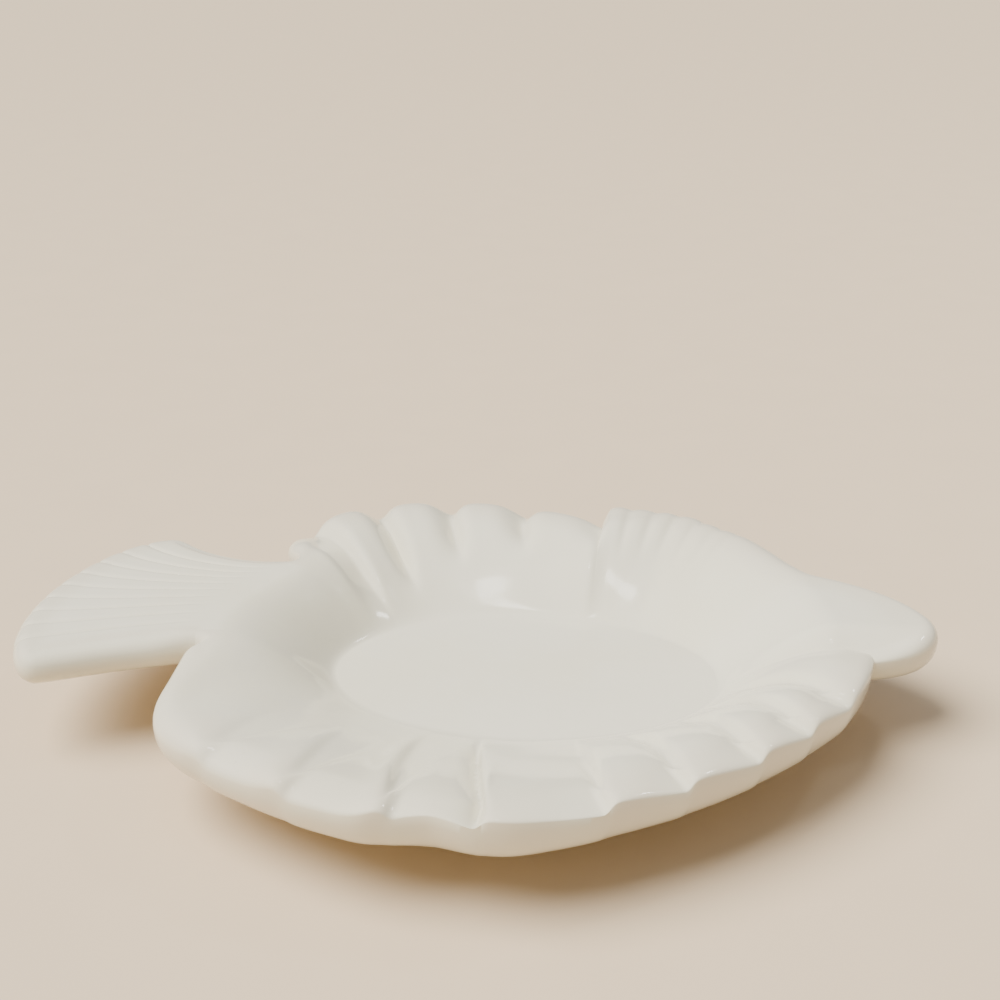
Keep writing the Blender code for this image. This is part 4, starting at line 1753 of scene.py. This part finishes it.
@dataclass
class Studio:
    """Camera, floor, lights and surroundings.

    Attributes:
        camera_place: where the camera stands, from the middle of the well.
        right: direction to the right of the picture.
        up: direction to the top of the picture.
        ahead: direction in which the camera looks.
        lens: focal length in millimetres.
        sensor: width of the picture's plane in millimetres.
        nearest: distance from which the camera sees things.
        floor_size: length and width of the floor.
        floor_gap: how far the floor lies below the foot ring, so that their faces don't coincide.
        sky: colour of the surroundings.
        sky_strength: brightness of the surroundings.
        lights: the lights.
        aim: point that the lights are turned to.
    """

    camera_place: tuple = (0.01156, -0.22193, 0.1355)
    right: tuple = (0.99732891, 0.07304143, 0.0)
    up: tuple = (-0.02818294, 0.38481806, 0.92256208)
    ahead: tuple = (-0.06738526, 0.92009783, -0.3858487)
    lens: float = 49.68
    sensor: float = 36.0
    nearest: float = 0.01
    floor_size: float = 40.0
    floor_gap: float = 0.00002
    sky: tuple = (0.90, 0.90, 0.92, 1.0)
    sky_strength: float = 0.44
    lights: tuple = (
        Softbox("lamp_top", (-0.02, 0.03, 0.92), 0.09, 0.3),
        Softbox("lamp_right", (0.55, 0.35, 0.80), 0.12, 0.7),
        Daylight("window", (-1.00, -0.25, 1.65), 45.0, 7.2),
    )
    aim: tuple = (0.0, 0.0, 0.015)

    def set_camera(self, middle: np.ndarray) -> None:
        """Set the camera at the photograph's viewing angle.

        Args:
            middle: plan place of the middle of the well, from which the camera's place is measured.
        """
        data = bpy.data.cameras.new("camera")
        data.lens = self.lens
        data.sensor_width = self.sensor
        data.clip_start = self.nearest
        camera = bpy.data.objects.new("camera", data)
        turn = Matrix((self.right, self.up, tuple(-part for part in self.ahead))).transposed()
        camera.matrix_world = turn.to_4x4()
        camera.location = Vector(self.camera_place) + Vector((*middle, 0.0))
        bpy.context.scene.collection.objects.link(camera)
        bpy.context.scene.camera = camera

    def lay_floor(self) -> None:
        """Lay the floor that the dish stands on."""
        Bench.clear_selection()
        bpy.ops.mesh.primitive_plane_add(size=self.floor_size, location=(0.0, 0.0, -self.floor_gap))
        floor = bpy.context.active_object
        floor.name = "studio_floor"
        floor.data.materials.append(PalePaper().make())
        floor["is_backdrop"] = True

    def light(self) -> None:
        """Hang the lights and set the surroundings."""
        for lamp in self.lights:
            lamp.hang(Vector(self.aim))
        world = bpy.data.worlds.new("surroundings")
        bpy.context.scene.world = world
        world.use_nodes = True
        background = world.node_tree.nodes["Background"]
        background.inputs["Color"].default_value = self.sky
        background.inputs["Strength"].default_value = self.sky_strength

    def build(self, middle: np.ndarray) -> None:
        """Set up the whole studio.

        Args:
            middle: plan place of the middle of the well.
        """
        self.set_camera(middle)
        self.lay_floor()
        self.light()


@dataclass
class Dish:
    """The whole dish.

    Attributes:
        well: its well.
        wall: sizes of its wall.
        dorsal_lobes: lobes of the dorsal fin.
        dorsal_outline: reach of the dorsal fin's crowns, in pairs of an angle and a distance.
        belly_lobes: lobes of the belly fin.
        belly_outline: reach of the belly fin's crowns, in the same way.
    """

    well: Well = field(default_factory=Well)
    wall: Wall = field(default_factory=Wall)
    dorsal_lobes: Lobes = Lobes(
        grooves=(
            Groove(75.5, 0.0014, 0.0012, 0.60, 0.98),
            Groove(93.8, 0.0028, 0.0022, 0.45, 0.88),
            Groove(110.0, 0.0032, 0.0026, 0.35, 0.80),
            Groove(125.2, 0.0034, 0.0028, 0.20, 0.65),
            Groove(138.8, 0.0028, 0.0024, 0.10, 0.65),
            Groove(155.0, 0.0, 0.0, 0.06, 0.55),
        ),
        crowns=(0.60, 0.62, 0.62, 0.62, 0.80),
        corners=(0.53, 0.45, 0.50, 0.55, 0.40),
        sinks=(0.0, 0.0, 0.0, 0.0, 0.0),
        roundness=3.8,
        corner_roundness=2.8,
    )
    dorsal_outline: tuple = (
        (75.5, 0.0503), (82.0, 0.0506), (87.0, 0.0519), (102.0, 0.0560), (119.0, 0.0607), (133.0, 0.0634),
        (139.0, 0.0622), (142.0, 0.0612), (144.5, 0.0611), (147.0, 0.0594), (150.0, 0.0560), (155.0, 0.0526),
    )
    belly_lobes: Lobes = Lobes(
        grooves=(
            Groove(190.0, 0.0, 0.0, 0.30, 0.90),
            Groove(209.5, 0.0006, 0.0018, 0.40, 0.95),
            Groove(224.5, 0.0006, 0.0034, 0.30, 0.90),
            Groove(239.0, 0.0007, 0.0042, 0.15, 0.70),
            Groove(253.6, 0.0010, 0.0044, 0.03, 0.45),
            Groove(266.8, 0.0032, 0.0046, 0.03, 0.35),
            Groove(284.9, 0.0019, 0.0046, 0.03, 0.35),
            Groove(299.2, 0.0018, 0.0044, 0.03, 0.35),
            Groove(314.2, 0.0018, 0.0042, 0.03, 0.35),
            Groove(326.6, 0.0017, 0.0040, 0.03, 0.35),
            Groove(337.8, 0.0016, 0.0036, 0.03, 0.40),
            Groove(354.5, 0.0008, 0.0004, 0.03, 0.60),
        ),
        crowns=(0.999, 0.74, 0.82, 0.91, 0.58, 0.14, 0.22, 0.22, 0.22, 0.24, 0.36),
        corners=(0.999, 0.86, 0.87, 0.90, 0.48, 0.10, 0.13, 0.13, 0.14, 0.15, 0.30),
        sinks=(0.0, 0.0, 0.0, 0.0, 0.30, 0.0, 0.0, 0.0, 0.0, 0.0, 0.0),
        soften=0.40,
    )
    belly_outline: tuple = (
        (190.0, 0.0596), (196.0, 0.0613), (202.6, 0.0644), (208.0, 0.0672), (212.8, 0.0684), (218.0, 0.0679),
        (224.0, 0.0664), (230.0, 0.0650), (238.0, 0.0639), (245.0, 0.0630), (250.5, 0.0624), (255.5, 0.0606),
        (259.6, 0.0598), (264.0, 0.0602), (269.6, 0.0605), (278.0, 0.0587), (288.0, 0.0566), (295.0, 0.0558),
        (302.5, 0.0554), (310.0, 0.0554), (317.5, 0.0558), (329.6, 0.0575), (340.0, 0.0598), (348.0, 0.0610),
        (354.5, 0.0616),
    )

    def parts(self) -> tuple[Head, Fin, Tail, Fin]:
        """The wall sections in the order of rising angles."""
        neck = Neck(self.well)
        dorsal = Fin(
            "dorsal_fin", self.well, self.wall, neck, self.dorsal_lobes, self.dorsal_outline, Side.DORSAL,
            heights=((75.5, 0.0194), (100.0, 0.0199), (155.0, 0.0200)),
            powers=((75.5, 2.0), (100.0, 1.75), (155.0, 1.7)), bulge_drops=((75.5, 0.0040), (155.0, 0.0040)),
            thickness=0.0080, end_power=0.3, wall_span=36.0,
        )
        belly = Fin(
            "belly_fin", self.well, self.wall, neck, self.belly_lobes, self.belly_outline, Side.BELLY,
            heights=((190.0, 0.0195), (215.0, 0.0192), (270.0, 0.0190), (354.5, 0.0190)),
            powers=((190.0, 1.5), (250.0, 1.45), (290.0, 1.7), (320.0, 2.1), (354.5, 2.1)),
            bulge_drops=((190.0, 0.0045), (210.0, 0.0030), (235.0, 0.0015), (354.5, 0.0014)),
            thickness=0.0090, lip_run=0.0022, low_share=0.0, corner=0.0020,
            flute_starts=(
                (190.0, 193.5), (236.0, 225.5), (253.2, 245.0), (267.7, 261.0), (285.5, 286.0),
                (299.7, 300.0), (315.0, 320.0), (327.5, 334.0), (338.7, 345.0), (354.5, 353.3),
            ),
        )
        head = Head(self.well, self.wall, dorsal)
        tail = Tail(self.well, self.wall, neck, (dorsal.crook(), belly.crook()))
        return head, dorsal, tail, belly

    def build(self, middle: np.ndarray) -> None:
        """Build and dress every piece.

        Args:
            middle: plan place of the middle of the well.
        """
        glaze = Glaze()
        parts = self.parts()
        edge = np.concatenate([part.stations().start[:-1] for part in parts])
        base = Base(self.well)
        floor = base.build_floor(edge, middle)
        Bench.mount(floor, base.floor_node, Slot.GLAZE, glaze)
        foot = base.build_foot(middle)
        Bench.mount(foot, base.foot_node, Slot.CLAY, BareClay())
        for part in parts:
            part.dress(part.build(middle), glaze)


def corners() -> list:
    """Lowest and highest corner of what is shown, as plain lists."""
    return [list(corner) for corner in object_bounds()]


def main() -> None:
    """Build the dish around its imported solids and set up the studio."""
    logging.basicConfig(level=logging.INFO, format="%(name)s: %(message)s")
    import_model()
    low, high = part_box("well_floor")
    middle = np.array([(low.x + high.x) / 2, (low.y + high.y) / 2])
    Dish().build(middle)
    Studio().build(middle)


if __name__ == "__main__":
    main()
